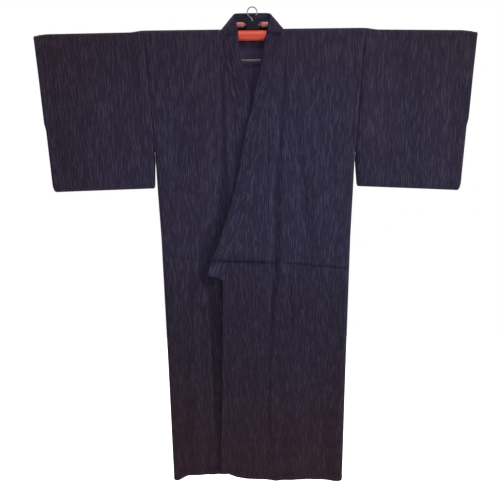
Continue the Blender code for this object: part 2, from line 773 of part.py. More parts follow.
def bar_path():
    """Down from the tube at each side, and across, with round corners."""
    bend = 10 * MM
    top = -(TUBE_DROP + TUBE_RADIUS + SEAM_GAP)
    path = [Vector((-BAR_HALF, 0, top))]
    for side, start in ((-1.0, 180.0), (1.0, 270.0)):
        centre = Vector((side * (BAR_HALF - bend), 0, -BAR_DROP + bend))
        for i in range(6):
            turn = (start + 90.0 * i / 5) * pi / 180
            path.append(centre + Vector((cos(turn), 0, sin(turn))) * bend)
    path.append(Vector((BAR_HALF, 0, top)))
    return path


def rest_profile():
    """A pin into the saddle, a bullet tip, and a plain round bar."""
    inner = SADDLE_SIZE[0] / 2 + SEAM_GAP
    profile = [(inner, 0.0), (inner, PIN_RADIUS), (REST_TIP, PIN_RADIUS)]
    steps = 5
    for i in range(1, steps + 1):
        turn = mix(REST_TIP_START, 90.0, i / steps) * pi / 180
        profile.append((REST_TIP + REST_TIP_LENGTH * (1 - cos(turn)), REST_RADIUS * sin(turn)))
    profile.append((REST_OUTER - REST_BEVEL, REST_RADIUS))
    profile.append((REST_OUTER, REST_RADIUS - REST_BEVEL))
    profile.append((REST_OUTER, 0.0))
    return profile


def hanger(collection, parent, finishes):
    orange = finishes["orange"]
    tube = cylinder("hanger_tube", TUBE_RADIUS, 2 * TUBE_HALF, 32, collection, parent, orange)
    tube.location = (0, 0, -TUBE_DROP)
    start = TUBE_HALF + 2 * SEAM_GAP
    length = ROD_END - start
    for name, side, fall in (("hanger_rod_left", 1.0, LEFT_SLOPE), ("hanger_rod_right", -1.0, RIGHT_SLOPE)):
        rod = cylinder(name, ROD_RADIUS, length, 24, collection, parent, finishes["grey"])
        rod.location = (side * (start + length / 2), 0, ROD_RISE - TUBE_DROP - fall / 2)
        rod.rotation_euler = (0, side * fall / length, 0)
    bottom = -(TUBE_DROP - TUBE_RADIUS) + SEAM_GAP
    bpy.ops.mesh.primitive_cube_add(size=1.0)
    saddle = bpy.context.object
    saddle.name = "hanger_saddle"
    for corner in saddle.data.vertices:
        corner.co.x *= SADDLE_SIZE[0]
        corner.co.y *= SADDLE_SIZE[1]
        corner.co.z *= SADDLE_TOP - bottom
    saddle.location = (0, 0, (SADDLE_TOP + bottom) / 2)
    for other in list(saddle.users_collection):
        other.objects.unlink(saddle)
    collection.objects.link(saddle)
    saddle.parent = parent
    saddle.data.materials.append(finishes["dark"])
    bevel = saddle.modifiers.new("rounded edges", "BEVEL")
    bevel.width = 2.5 * MM
    bevel.segments = 3
    for side, name in ((1.0, "collar_rest_left"), (-1.0, "collar_rest_right")):
        profile = [(side * x, radius) for x, radius in rest_profile()]
        rest = turned(name, profile, 16, collection, parent, finishes["salmon"])
        rest.location = (0, 0, REST_HEIGHT)
    wire("hanger_hook", hook_path(), WIRE_RADIUS, collection, parent, finishes["dark"])
    wire("lower_bar", bar_path(), BAR_RADIUS, collection, parent, finishes["grey"])


def finish(name, colour, roughness, metallic=0.0):
    material = bpy.data.materials.new(name)
    material.use_nodes = True
    shader = material.node_tree.nodes["Principled BSDF"]
    shader.inputs["Base Color"].default_value = colour
    shader.inputs["Roughness"].default_value = roughness
    shader.inputs["Metallic"].default_value = metallic
    material.diffuse_color = colour
    return material


def main():
    for old in list(bpy.data.objects):
        bpy.data.objects.remove(old)
    collection = bpy.data.collections.new("yukata_on_hanger")
    bpy.context.scene.collection.children.link(collection)
    robe = bpy.data.objects.new("robe", None)
    robe.location = (-NECK_OFFSET, 0, -SHOULDER_DROP)
    rack = bpy.data.objects.new("hanger", None)
    rack.location = (0, 0, -SHOULDER_DROP)
    collection.objects.link(robe)
    collection.objects.link(rack)
    finishes = {
        "cloth": finish("indigo cotton", CLOTH_COLOUR, 0.9),
        "band": finish("indigo cotton band", BAND_COLOUR, 0.9),
        "orange": finish("orange plastic", ORANGE, 0.25),
        "salmon": finish("salmon plastic", SALMON, 0.4),
        "grey": finish("grey steel", GREY, 0.35, 0.8),
        "dark": finish("dark plastic", DARK, 0.5),
    }
    cloth = finishes["cloth"]
    body("body_left", 1.0, LEFT_BAND, LEFT_OVERLAP, UPPER_HEM, collection, robe, cloth)
    body("body_right", -1.0, RIGHT_BAND, RIGHT_OVERLAP, LOWER_HEM, collection, robe, cloth)
    overlap_panel("okumi_left", 1.0, LEFT_BAND, LEFT_OVERLAP, UPPER_HEM, collection, robe, cloth)
    overlap_panel("okumi_right", -1.0, RIGHT_BAND, RIGHT_OVERLAP, LOWER_HEM, collection, robe, cloth)
    sleeve("sleeve_left", LEFT_SLEEVE, collection, robe, cloth)
    sleeve("sleeve_right", RIGHT_SLEEVE, collection, robe, cloth)
    sections = band_sections(band_stations())
    collar(sections, collection, robe, finishes["band"])
    over_collar(sections, collection, robe, finishes["band"])
    hanger(collection, rack, finishes)


main()
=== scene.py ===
from math import radians

import bmesh
import bpy
import numpy as np
from mathutils import Matrix, Vector
from mathutils.bvhtree import BVHTree


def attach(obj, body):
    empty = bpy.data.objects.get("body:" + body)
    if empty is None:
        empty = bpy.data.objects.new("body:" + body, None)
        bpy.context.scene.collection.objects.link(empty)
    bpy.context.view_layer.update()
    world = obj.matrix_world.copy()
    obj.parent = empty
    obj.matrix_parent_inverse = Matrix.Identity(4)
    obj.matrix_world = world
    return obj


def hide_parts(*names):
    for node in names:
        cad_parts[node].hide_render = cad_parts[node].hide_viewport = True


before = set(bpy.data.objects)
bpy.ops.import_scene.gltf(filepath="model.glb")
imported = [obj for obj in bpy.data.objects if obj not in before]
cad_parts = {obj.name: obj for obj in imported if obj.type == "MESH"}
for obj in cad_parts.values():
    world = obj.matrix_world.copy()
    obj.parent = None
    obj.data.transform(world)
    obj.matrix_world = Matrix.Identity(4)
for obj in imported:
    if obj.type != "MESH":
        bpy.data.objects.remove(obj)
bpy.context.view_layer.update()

# A cotton yukata hung flat on a kimono hanger. Lengths are in metres, and those of the tables in
# centimetres: x to the viewer's right from the robe's middle, and the drop down from its shoulder line.
mm = 0.001
cm = 0.01

robe = {
    "place": (0.0045, 0.0, -0.0605),  # the shoulder line's middle, from the hook's inner crown
    "shoulderHalf": 0.327,
    "length": 1.5,
    "armhole": 0.388,
    "pointDrop": 0.226,  # where the overlap panel's point meets the neckband
    "frontHang": 0.011,
    "backHang": 0.013,
    "hemFlare": 0.35,
    "hemStart": 1.3,  # below this the cloth is stretched to its hem's line
    "hemReach": 0.2,
    "settle": 0.12,
    "sideRound": 0.017,
    "sideSoft": 0.018,  # folds and creases fade out towards the side edges
    "sideKeeps": 0.15,  # share of them that is left there
    "sideCloses": 0.30,
    "foldRadius": 0.0171,
    "rodRadius": 0.011,
    "rodStarts": 0.045,  # past the armhole seam the cloth narrows from the tube to the rod
    "arc": 0.57,  # how much longer a quarter turn is than its radius
    "tuckUnder": 0.004,  # cloth inside the neckband
    "handledFrom": 0.03, "handledOver": 0.12,  # the cloth over the tube is smoother
    "wander": 1.5 * mm, "wanderLength": 0.03,  # how far a crease strays from its line
    "wall": 0.0008,
}
shoulderLine = {
    "rodLower": 0.004,
    "slopes": (0.0025, 0.0055),  # how far the sleeves fall, the wearer's right one and the left
    "slopeFrom": 0.31, "slopeOver": 0.30,
    "endFall": 0.0055, "endFrom": 0.61, "endOver": 0.06,
}
seamLook = {
    "gap": 0.0003,
    "past": 0.0018,  # how far one piece runs under the next
    "dip": 0.0011,  # how far a sewn edge is drawn in
    "dipReach": 0.0045,
    "turnIn": 1.4,
    "pucker": 0.35 * mm, "puckerLength": 0.007, "puckerStarts": 0.002, "puckerFades": 0.010,
    "stitched": 0.5 * mm, "stitchedFades": 0.0012,
    "groove": 2.2 * mm, "grooveHalf": 0.006,  # where the sleeve hangs from the armhole seam
    "grooveFrom": 0.02, "grooveOver": 0.04, "grooveEnds": 0.36, "grooveFades": 0.05,
}
hemLook = {"proud": 0.6 * mm, "step": 0.003, "line": 1.3 * mm, "lineHalf": 0.005}
# the small unevenness of washed cotton: depth in mm, and the size of its patches across and down
washed = ((1.0, 0.034, 0.23), (0.45, 0.022, 0.07), (0.14, 0.009, 0.022))
seeds = {
    "upperFront": 21, "lowerFront": 31, "back": 41, "sleeve": 51,
    "armhole": 3, "panelSeam": 4, "backSeam": 6, "panelEdge": 7, "crease": 9,
}

# ---- reading the tables


def clamp(value):
    return np.clip(value, 0.0, 1.0)


def ease(value):
    t = clamp(value)
    return t * t * (3.0 - 2.0 * t)


def mix(a, b, share):
    return a + (b - a) * share


def swell(reach):
    # a soft rise and fall, 0 from 1.6 on
    t = np.minimum(1.0, np.abs(reach) / 1.6)
    return (1.0 - t * t) ** 2


def hollowed(reach):
    # a flat floor with short walls
    return ease((1.36 - np.abs(reach)) / 0.52)


def creased(above, below, power):
    # a crease that turns in over one reach above its middle, and comes out over another below it
    return lambda reach: (1.0 - clamp(np.where(reach < 0, -reach / above, reach / below))) ** power


pinch = creased(1.0, 1.0, 2)
pressed = creased(0.8, 2.6, 2)  # turns in sharply and comes out slowly
bent = creased(3.6, 1.5, 1.7)  # the cloth leans in above it


def rounded(share, width):
    q = clamp(1.0 - share / width)
    return np.sqrt(1.0 - q * q)


def track(places, values, wanted, soften=1.6, step=0.25, past=6):
    # the table's line with its corners softened, all in centimetres
    reach = int(4 * soften / step)
    fine = np.arange(places[0] - past, places[-1] + past, step)
    rough = np.pad(np.interp(fine, places, values), reach, mode="edge")
    bell = np.exp(-0.5 * (np.arange(-reach, reach + 1) * step / soften) ** 2)
    return np.interp(wanted, fine, np.convolve(rough, bell / bell.sum(), mode="valid"))


def relief(lines, along, across, shape=swell):
    # each line has rows of: place along it, place across, half width in centimetres, and depth in mm
    total = np.zeros(np.broadcast(along, across).shape)
    for rows in lines:
        table = np.array(rows, float).T
        widest = table[2].max() * 3.6  # no shape reaches further
        middle = track(table[0], table[1], along / cm)
        width = track(table[0], table[2], along / cm)
        depth = np.interp(along / cm, table[0], table[3])
        offset = across / cm - middle
        total = total + np.where(np.abs(offset) < widest, depth * mm * shape(offset / width), 0.0)
    return total


def unevenness(u, v, sizeU, sizeV, seed, count=96):
    # smooth noise from -1 to 1 with patches of the given size
    knots = np.random.default_rng(seed).uniform(-1.0, 1.0, (count, count))
    a, b = np.asarray(u) / sizeU + 41.3, np.asarray(v) / sizeV + 37.7
    i, j = np.floor(a).astype(int), np.floor(b).astype(int)
    s, t = ease(a - i), ease(b - j)
    low = mix(knots[i % count, j % count], knots[(i + 1) % count, j % count], s)
    high = mix(knots[i % count, (j + 1) % count], knots[(i + 1) % count, (j + 1) % count], s)
    return mix(low, high, t)


# ---- the robe's lines

# seam drop, seam x, free drop, free x, mirrored for the wearer's right
leftBand = (
    (3, 7.9, 2.6, 3.5), (4.5, 7.4, 4, 3), (9, 6.7, 8.2, 2.3), (13.5, 5.9, 12.5, 1.5),
    (18, 5, 16.9, 0.5), (21.8, 4.3, 20.6, -0.5), (25.5, 3.4, 24.2, -1.4), (29.2, 2.5, 27.9, -2.4),
    (33, 1.7, 31.8, -3.3), (37, 0.9, 35.9, -4.2), (38.8, 0.6, 37.7, -4.5), (41.4, 0.2, 40.3, -4.9),
    (45, -0.5, 43.7, -5.6), (48.9, -1.5, 47.2, -6.5), (52.7, -2.7, 50.7, -7.5), (57, -4.3, 54.9, -8.9),
    (62, -6, 59.8, -10.5), (67, -7.8, 64.9, -12.3), (72, -9.8, 69.8, -14.5), (76.3, -11, 74.2, -15.8),
)
rightBand = (
    (3, 9, 2.7, 4.7), (4.5, 9, 4.1, 4.7), (9, 8.5, 8.3, 4), (13.5, 7.7, 12.7, 2.9),
    (18, 7, 17.1, 1.9), (21.8, 6.4, 20.8, 1.1), (25.5, 5.5, 24.4, 0.2), (29.2, 4.4, 28, -0.7),
    (33, 3.2, 31.7, -1.8), (37, 2.1, 35.6, -2.9), (38.8, 1.6, 37.4, -3.4), (41.4, 0.9, 40, -4.1),
    (45, -0.1, 43.6, -5), (48.9, -1.2, 47.4, -6), (52.7, -2.4, 51, -7.1), (57, -3.9, 55.1, -8.5),
    (62, -5.5, 59.9, -10), (67, -7.1, 64.9, -11.6), (72, -8.7, 69.8, -13.4), (76.3, -9.9, 74.2, -14.6),
)
# angle round the shoulder, seam x, and the free edge's x, y and z
neckTurn = (
    (-90, 8.6, 4.35, -1.55, -0.7), (-67.5, 8.8, 4.85, -0.95, 0.85), (-45, 8.9, 5.15, -0.25, 2.15),
    (-22.5, 8.95, 5.35, 0.55, 3.4), (0, 8.95, 5.45, 1.35, 4.5), (22.5, 7.2, 4.9, 1.8, 4.9),
)
# share of the way across the back of the neck, and the free edge's x, y and z
neckBack = ((0.33, 3.4, 2.05, 5.02), (0.67, 1.7, 2.15, 5.06), (1.0, 0.0, 2.2, 5.08))
neckShift = -0.45  # the neck hangs on the hanger's middle, and the robe a little to its left
bandEnd = 76.3
overBandEnd = 52.7

# drop and how far the upper front hangs before the lower one, in mm
layerLift = ((0, 30, 48, 66, 82, 100, 125, 151), (6, 5.6, 6.8, 8.6, 7.6, 6.6, 5.6, 4.6))
# drop and half width of the body
sideLine = ((0, 17, 29, 38.8, 48, 62, 110, 151), (32.7, 32, 31.4, 31.1, 30.9, 30.5, 30.2, 30.1))
# drop, seam x, front edge x of each overlap panel
panelDrops = (22.6, 50, 76.3, 98, 120, 151)
leftPanel = (panelDrops, (4.14, 3.91, 3.72, 3.56, 3.39, 3.19), (3.8, -0.6, -10.7, -11.4, -12.2, -13.2))
rightPanel = (panelDrops, (6.21, 5.5, 5.18, 5.14, 5.11, 5.11), (5.9, 0.6, -9.9, -10.5, -11.1, -11.8))
# x across the robe and how far down each hem hangs
upperHem = (
    (-13.4, -10.4, -7.6, -4.7, 1, 6.6, 13.6, 18.1, 30),
    (147, 146.9, 148.2, 148.9, 149.1, 149.8, 149.2, 149.4, 150.3),
)
lowerHem = ((-30, -28, -25, -21, 13), (149.8, 149.7, 148, 147.4, 147.2))
backHem = ((-30, 0, 30), (149.8, 148.6, 150.3))

# The largest folds: rows of drop, x, half width and depth, in towards the hollow if positive
sharedFolds = (
    (
        (2, 9, 0.6, 0), (12, 8.8, 0.7, 3.5), (24, 8.2, 0.8, 3), (36, 7.2, 1, 5), (48, 6.3, 1.4, 8),
        (62, 6, 1.5, 9.5), (74, 5.9, 1.4, 9), (82, 5.2, 1, 6), (94, 4.5, 0.6, 4.5), (115, 4, 0.5, 4),
        (130, 3.8, 0.5, 3.5), (136, 4.2, 0.5, 2), (151, 4.5, 0.6, 1),
    ),
)
upperFolds = (
    ((8, 11.5, 1.4, 0), (24, 14.3, 1.8, -1.8), (50, 18, 2, -1.5), (80, 20.8, 2.2, 0)),
    (
        (6, 12.3, 0.8, 0), (14, 15.2, 1, 0.9), (23.5, 18.3, 1.2, 1.3), (41.5, 23.2, 1.3, 1),
        (51, 26.6, 0.9, 0),
    ),
    ((72, 12, 0.6, 0), (75, 12.2, 0.7, -3), (90, 12.6, 0.7, -2.5), (97, 12.7, 0.6, 0)),
    ((40, 13.4, 2.2, 0), (62, 15.6, 2.6, 3), (80, 17.3, 2.6, 0)),
    ((80, 23.8, 3, 0), (112, 23.2, 3.2, 3), (151, 22.7, 3.4, 4)),
    ((84, 12.3, 3, 0), (116, 12.8, 3, -2.5), (151, 13.1, 3.2, -4)),
)
lowerFolds = (
    (
        (2, -10, 0.6, 0), (8, -10, 0.7, 2.2), (20, -10.2, 0.8, 3.6), (34, -10.4, 0.9, 5), (44, -10.4, 1.3, 8),
        (52, -11.6, 1.7, 4), (60, -13.2, 1.8, 0),
    ),
    (
        (4, -13.3, 0.8, 0), (10, -15.8, 0.8, 2.2), (20, -19.9, 0.9, 2.8), (27, -21.9, 1, 2.6),
        (38, -23.8, 1.2, 0),
    ),
    (
        (8, -11.8, 0.8, 0), (20, -15.4, 1.5, -1.8), (28, -16.6, 1.7, -2.2), (54, -16.6, 1.7, -2),
        (72, -19.7, 1.8, 0),
    ),
    ((5, -7.7, 0.4, 0), (10, -7.2, 0.5, 1.8), (17.5, -6.1, 0.5, 2.2), (23, -5.3, 0.5, 2), (29, -4.7, 0.4, 0)),
    ((10, -8.9, 0.6, 0), (20, -8.6, 0.7, -2), (40, -8.4, 0.7, -2), (50, -7.6, 0.6, 0)),
    ((76, -25.7, 2.8, 0), (115, -25.4, 3, 3), (151, -25.1, 3.2, 4)),
    ((88, -20.7, 2.2, 0), (118, -21, 2.4, -2.5), (151, -21.3, 2.6, -3.5)),
)
# the wearer's right front falls back, with a plain step, beside the left band and the edge of its panel
openGap = (
    (
        (42, -10.2, 1.2, 0), (48, -10.4, 1.7, 7), (54, -11.3, 2.5, 13.5), (62, -13.6, 3, 16),
        (70, -16, 3.1, 16.5), (76, -14.6, 3.1, 17), (82, -13, 2.4, 17), (100, -13.1, 2.2, 16),
        (118, -13.2, 1.7, 10), (135, -13.6, 1.3, 4.5), (151, -13.8, 0.9, 0.8),
    ),
)
backFolds = (
    ((8, -13, 2.4, 0), (40, -12.4, 2.8, -4), (100, -11.6, 3.2, -3.5), (151, -11, 3.8, -4.5)),
    ((8, 12.5, 2.4, 0), (46, 12, 2.6, -4), (96, 11.4, 3.2, -3), (151, 10.6, 3.8, -4.5)),
    ((26, -22.5, 1.6, 0), (58, -22.2, 1.9, 4.5), (100, -21.8, 2.6, 4), (151, -21.4, 3.2, 5)),
    ((22, 23, 1.6, 0), (64, 22.4, 1.8, 5), (104, 21.8, 2.6, 4), (151, 21, 3.2, 5)),
    ((14, 0, 0.8, 0), (30, 0, 1, 4), (80, 0, 1.2, 5), (151, 0, 1.6, 5)),
)

# Creases left by folding the robe away run across it: rows of x, drop, half width and depth
upperCreases = (
    ((-16, 68, 0.6, 1.2), (-5, 68.2, 0.6, 1.6), (4.5, 68.8, 0.6, 1.4), (7, 69.2, 0.6, 0)),
    ((-16.8, 69.5, 0.4, 1.8), (-9, 69.8, 0.4, 1.6), (-5, 70, 0.4, 0)),
    (
        (7.5, 70.8, 0.8, 0), (9.4, 70.9, 1.3, 7.4), (14.2, 71.3, 1.2, 8.4), (25.5, 72.4, 1.2, 7.8),
        (30.5, 72.8, 1.2, 7),
    ),
    # the second neckband is crumpled at its end
    ((-5.6, 47.6, 0.45, 0), (-4.2, 48.3, 0.5, 1.8), (-2.4, 49.8, 0.5, 1.6), (-0.8, 51.8, 0.45, 0)),
    ((-5.4, 49.6, 0.4, 0), (-4.4, 50.2, 0.45, 1.4), (-3.2, 51.6, 0.4, 0)),
    ((-4.6, 45.9, 0.4, 0), (-2.6, 46.2, 0.5, 1.3), (1, 46.1, 0.5, 1.6), (3.4, 46.6, 0.4, 0)),
    ((-3.8, 43.2, 0.4, 0), (-1.4, 43.8, 0.5, -1.2), (0.6, 44.9, 0.4, 0)),
    ((8, 93.4, 1, 0), (12, 93.8, 1, 1.4), (21.1, 95.2, 1, 1.2), (29.4, 96.3, 1, 0)),
)
# where the folded overlap was pressed, the cloth leans over its crease
upperBends = (
    ((-17, 70.4, 0.8, 12), (-5, 70.7, 0.8, 13), (4, 71.1, 0.8, 11.5), (8, 71.3, 0.8, 0)),
    ((-17, 67, 1, -5), (-5, 66.8, 1, -5.5), (4, 67.2, 1, -4.5), (7, 67.4, 1, 0)),
    (
        (-14, 145.2, 1.7, 1.8), (-2, 145.8, 1.8, 2.4), (6, 146.6, 1.8, 2.6), (16, 146.4, 1.8, 4.5),
        (30, 147.2, 1.7, 3.5),
    ),
)
lowerBends = (
    # pressed together with the overlap that lies on it
    (
        (-14, 70.3, 0.8, 0), (-11, 70.5, 0.8, 8), (-5, 70.7, 0.8, 10), (4, 71.1, 0.8, 9),
        (12.5, 71.2, 0.8, 8),
    ),
    ((-14, 66.9, 1, 0), (-5, 66.8, 1, -4), (4, 67.2, 1, -3.5), (7, 67.4, 1, 0)),
    ((-31, 146.6, 1.7, 3), (-24, 144.8, 1.8, 4), (-17, 144.4, 1.8, 3.6), (-8, 144.2, 1.7, 2.2)),
)
lowerCreases = (
    ((-31, 68.8, 1.1, 3.6), (-23, 69.2, 1.1, 4.2), (-15.4, 70.3, 1.1, 3.4), (-12, 70.5, 1.1, 0)),
    ((-31, 94.5, 1, 0.7), (-24, 94.8, 1, 1), (-17, 95, 1, 0)),
)
backCreases = (
    ((-30, 36.2, 1, 0), (-18, 36.8, 1.2, 2.8), (4, 36.4, 1.2, 3.4), (26, 37, 1, 0)),
    ((-30, 108.5, 1, 2.4), (-6, 109.4, 1.2, 3.4), (20, 108.8, 1.2, 2.6), (31, 109, 1, 0)),
)
backBends = (
    (
        (-31, 69.9, 0.9, 7), (-22, 70.3, 0.9, 6.5), (-15, 70.6, 0.9, 4.5), (-6, 70.8, 0.9, 5.5),
        (12, 70.5, 0.9, 8), (31, 71.8, 0.9, 7),
    ),
)
# Finer wrinkles run down it: rows of drop, x, half width and depth
upperWrinkles = (
    ((5, 29.4, 0.6, 0), (10, 29.6, 0.6, 1.8), (18, 30.4, 0.6, 2.2), (30, 29.9, 0.6, 2.6), (40, 29.6, 0.6, 0)),
    ((10, 29.2, 0.6, 0), (13, 30.2, 0.7, 2.4), (19, 31.6, 0.7, 2.6), (24.5, 33, 0.6, 0)),
    ((15.5, 28.6, 0.6, 0), (18, 29.8, 0.7, 2.2), (21, 32, 0.6, 1.8), (22.5, 33, 0.6, 0)),
    ((22, 12, 1, 0), (34, 13.2, 1.2, 1.3), (52, 15, 1.4, 1.4), (66, 16.6, 1.2, 0)),
    ((14, 22.5, 1.1, 0), (28, 23.4, 1.4, 1.2), (44, 24.6, 1.4, 0.8), (58, 25.4, 1.2, 0)),
    ((74, 9.6, 0.9, 0), (88, 9.3, 1.2, -1), (108, 8.8, 1.2, -0.9), (128, 8.3, 1, 0)),
    ((78, 18.6, 1.2, 0), (96, 18.2, 1.6, 1.1), (120, 18, 1.7, 1.3), (151, 17.9, 1.8, 1.6)),
    ((100, 27.4, 1.1, 0), (124, 27.2, 1.3, -1.2), (151, 27, 1.4, -1.5)),
    ((84, -3.6, 1, 0), (104, -4.2, 1.3, 1), (130, -4.8, 1.4, 0.9), (151, -5.2, 1.4, 1.2)),
    ((96, 0.6, 0.9, 0), (122, 0.4, 1.2, -0.9), (151, 0.2, 1.3, -1.2)),
)
lowerWrinkles = (
    ((9, -28.6, 0.7, 0), (14, -29.9, 0.8, 2.4), (20, -31.3, 0.7, 2.4), (24, -32.6, 0.6, 0)),
    ((16, -27.6, 0.8, 0), (22, -29.2, 0.9, 1.2), (29, -31, 0.8, 0.9), (33, -32.2, 0.6, 0)),
    ((20, -13, 0.8, 0), (34, -13.2, 1.1, 1.1), (50, -13.6, 1.1, 0.9), (60, -14, 1, 0)),
    ((48, -21.6, 1.2, 0), (66, -22, 1.5, 1.3), (88, -22.6, 1.5, 0.9), (104, -23, 1.3, 0)),
    ((62, -27.6, 1, 0), (82, -27.9, 1.2, -1.1), (104, -28.1, 1.2, -0.9), (126, -28.2, 1, 0)),
    ((112, -18.4, 1.1, 0), (132, -18.6, 1.4, 1.1), (151, -18.8, 1.5, 1.5)),
)
backWrinkles = (
    ((12, -7.4, 0.9, 0), (30, -7.8, 1.2, 2.4), (62, -7.4, 1.3, 2), (92, -7, 1.1, 0)),
    ((18, 17.4, 0.9, 0), (44, 17, 1.2, 2.6), (78, 16.4, 1.3, 1.8), (104, 16.2, 1.1, 0)),
    ((60, 5.6, 1, 0), (90, 5.4, 1.3, 2), (151, 5, 1.5, 2.4)),
    ((84, -16.6, 1, 0), (112, -16.4, 1.3, 2), (151, -16, 1.5, 2.6)),
    ((10, -29.2, 0.8, 0), (18, -30.4, 0.9, 1.4), (26, -32, 0.7, 0)),
    ((10, 29.4, 0.8, 0), (17, 30.6, 0.9, 1.4), (25, 32, 0.7, 0)),
    ((100, 26.6, 1.1, 0), (151, 26, 1.5, -1.4)),
    ((96, -27, 1.1, 0), (151, -26.4, 1.5, -1.4)),
)


def sideHalf(drop):
    return track(*sideLine, drop / cm) * cm


def pastArmhole(x):
    return ease((np.abs(x) - robe["shoulderHalf"]) / robe["rodStarts"])


def topDrop(x):
    # the sleeves rest on slimmer rods, which fall a little to their ends
    line = shoulderLine
    slope = np.where(x > 0, line["slopes"][1], line["slopes"][0])
    slope = slope * clamp((np.abs(x) - line["slopeFrom"]) / line["slopeOver"])
    end = line["endFall"] * ease((np.abs(x) - line["endFrom"]) / line["endOver"])
    return line["rodLower"] * pastArmhole(x) + slope + end


def foldRadius(x):
    return mix(robe["foldRadius"], robe["rodRadius"], pastArmhole(x))


def armholeClosed(drop):
    return ease((drop - robe["sideCloses"]) / (robe["armhole"] - robe["sideCloses"]))


def sideFactor(x, drop):
    q = clamp((np.abs(x) - (sideHalf(drop) - robe["sideRound"])) / robe["sideRound"])
    return 1.0 - armholeClosed(drop) * (1.0 - np.sqrt(1.0 - q * q))


def settled(x, drop):
    return ease((drop - topDrop(x) - foldRadius(x)) / robe["settle"])


def flare(drop):
    return 1.0 + robe["hemFlare"] * (drop / robe["length"]) ** 2


def handling(x, drop, seed):
    layers = enumerate(washed)
    rough = sum(depth * unevenness(x, drop, across, down, seed + i) for i, (depth, across, down) in layers)
    return rough * mm * ease((drop - robe["handledFrom"]) / robe["handledOver"])


def awayFromSide(x, drop):
    return mix(ease((sideHalf(drop) - np.abs(x)) / robe["sideSoft"]), 1.0, robe["sideKeeps"])


def frontDepth(x, drop, upper):
    folds = relief(sharedFolds, drop, x) + relief(upperFolds if upper else lowerFolds, drop, x)
    folds = folds if upper else folds + relief(openGap, drop, x, hollowed)
    apart = np.interp(drop / cm, *layerLift) * mm if upper else 0.0
    hang = -robe["frontHang"] * flare(drop) - apart + folds
    return mix(-foldRadius(x), hang, settled(x, drop)) * sideFactor(x, drop)


def frontDetail(x, drop, upper):
    wrinkles, creases, bends, seed = (
        (upperWrinkles, upperCreases, upperBends, seeds["upperFront"]) if upper
        else (lowerWrinkles, lowerCreases, lowerBends, seeds["lowerFront"])
    )
    wander = robe["wander"] * unevenness(x, 0.0, robe["wanderLength"], 1, seeds["crease"])
    folded = relief(creases, x, drop + wander, pressed) + relief(bends, x, drop, bent)
    return (relief(wrinkles, drop, x) + folded + handling(x, drop, seed)) * awayFromSide(x, drop)


def backDepth(x, drop):
    hang = robe["backHang"] * flare(drop) - relief(backFolds, drop, x)
    return mix(foldRadius(x), hang, settled(x, drop)) * sideFactor(x, drop)


def backDetail(x, drop):
    fine = relief(backWrinkles, drop, x) + handling(x, drop, seeds["back"])
    folded = relief(backCreases, x, drop, pressed) + relief(backBends, x, drop, bent)
    return -(fine + folded) * awayFromSide(x, drop)


def seamPull(distance, along, seed, depth=1.0):
    # a sewn edge is drawn in, with small puckers beside it, and the cloth past it turns inwards
    look = seamLook
    dip = depth * look["dip"] * (1.0 - ease(distance / look["dipReach"]))
    puckers = look["pucker"] * unevenness(along, 0.0, look["puckerLength"], 1, seed)
    puckers = puckers * np.exp(-np.abs(distance) / look["puckerFades"])
    stitched = look["stitched"] * np.exp(-np.maximum(distance, 0.0) / look["stitchedFades"])
    puckers = puckers * ease(distance / look["puckerStarts"])
    return dip + stitched + puckers + look["turnIn"] * np.maximum(-distance, 0.0)


def armholePull(distance, along):
    # the sleeve's weight draws the armhole seam into a soft groove
    look = seamLook
    groove = look["groove"] * swell(distance / look["grooveHalf"])
    groove = groove * ease((along - look["grooveFrom"]) / look["grooveOver"])
    return seamPull(distance, along, seeds["armhole"]) + groove


def aboveArmpit(drop):
    return 1.0 - ease((drop - seamLook["grooveEnds"]) / seamLook["grooveFades"])


def turnedEdge(distance, width):
    # the doubled cloth of a hem stands proud, up to its line of stitching
    step = hemLook["step"]
    proud = hemLook["proud"] * (1.0 - ease((distance - width + step / 2) / step))
    return hemLook["line"] * pinch((distance - width) / hemLook["lineHalf"]) - proud


def placed(*values):
    # arrays of matching shapes as one grid of points
    return np.stack(np.broadcast_arrays(*values), -1)


def foldPoint(x, angle):
    radius = foldRadius(x)
    turn = np.radians(angle)
    return placed(x, radius * np.sin(turn), -topDrop(x) - radius * (1 - np.cos(turn)))


# ---- making the meshes


def finerNear(width, spacing, past=0.0):
    # shares across a width, closer together at both edges, and from a little before its start
    near = np.array((0.0, 0.8, 1.8, 3.0, 4.5, 6.5, 9.0, 12.0)) * mm
    middle = np.linspace(near[-1], width - near[-1], max(3, int((width - 2 * near[-1]) / spacing)))
    before = [-past] if past else []
    return np.concatenate((before, near[:-1], middle, width - near[:-1][::-1])) / width


def levels(first, last, spacing, zones=(), closer=0.0019):
    # evenly spaced places, closer together in the zones where creases cross
    even = np.linspace(first, last, int(round((last - first) / spacing)) + 1)
    for start, end in zones:
        inside = np.linspace(start, end, int((end - start) / closer) + 1)
        even = np.concatenate((even[even < start - closer / 2], inside, even[even > end + closer / 2]))
    return even


def linked(name, data):
    made = bpy.data.objects.new(name, data)
    bpy.context.scene.collection.objects.link(made)
    return made


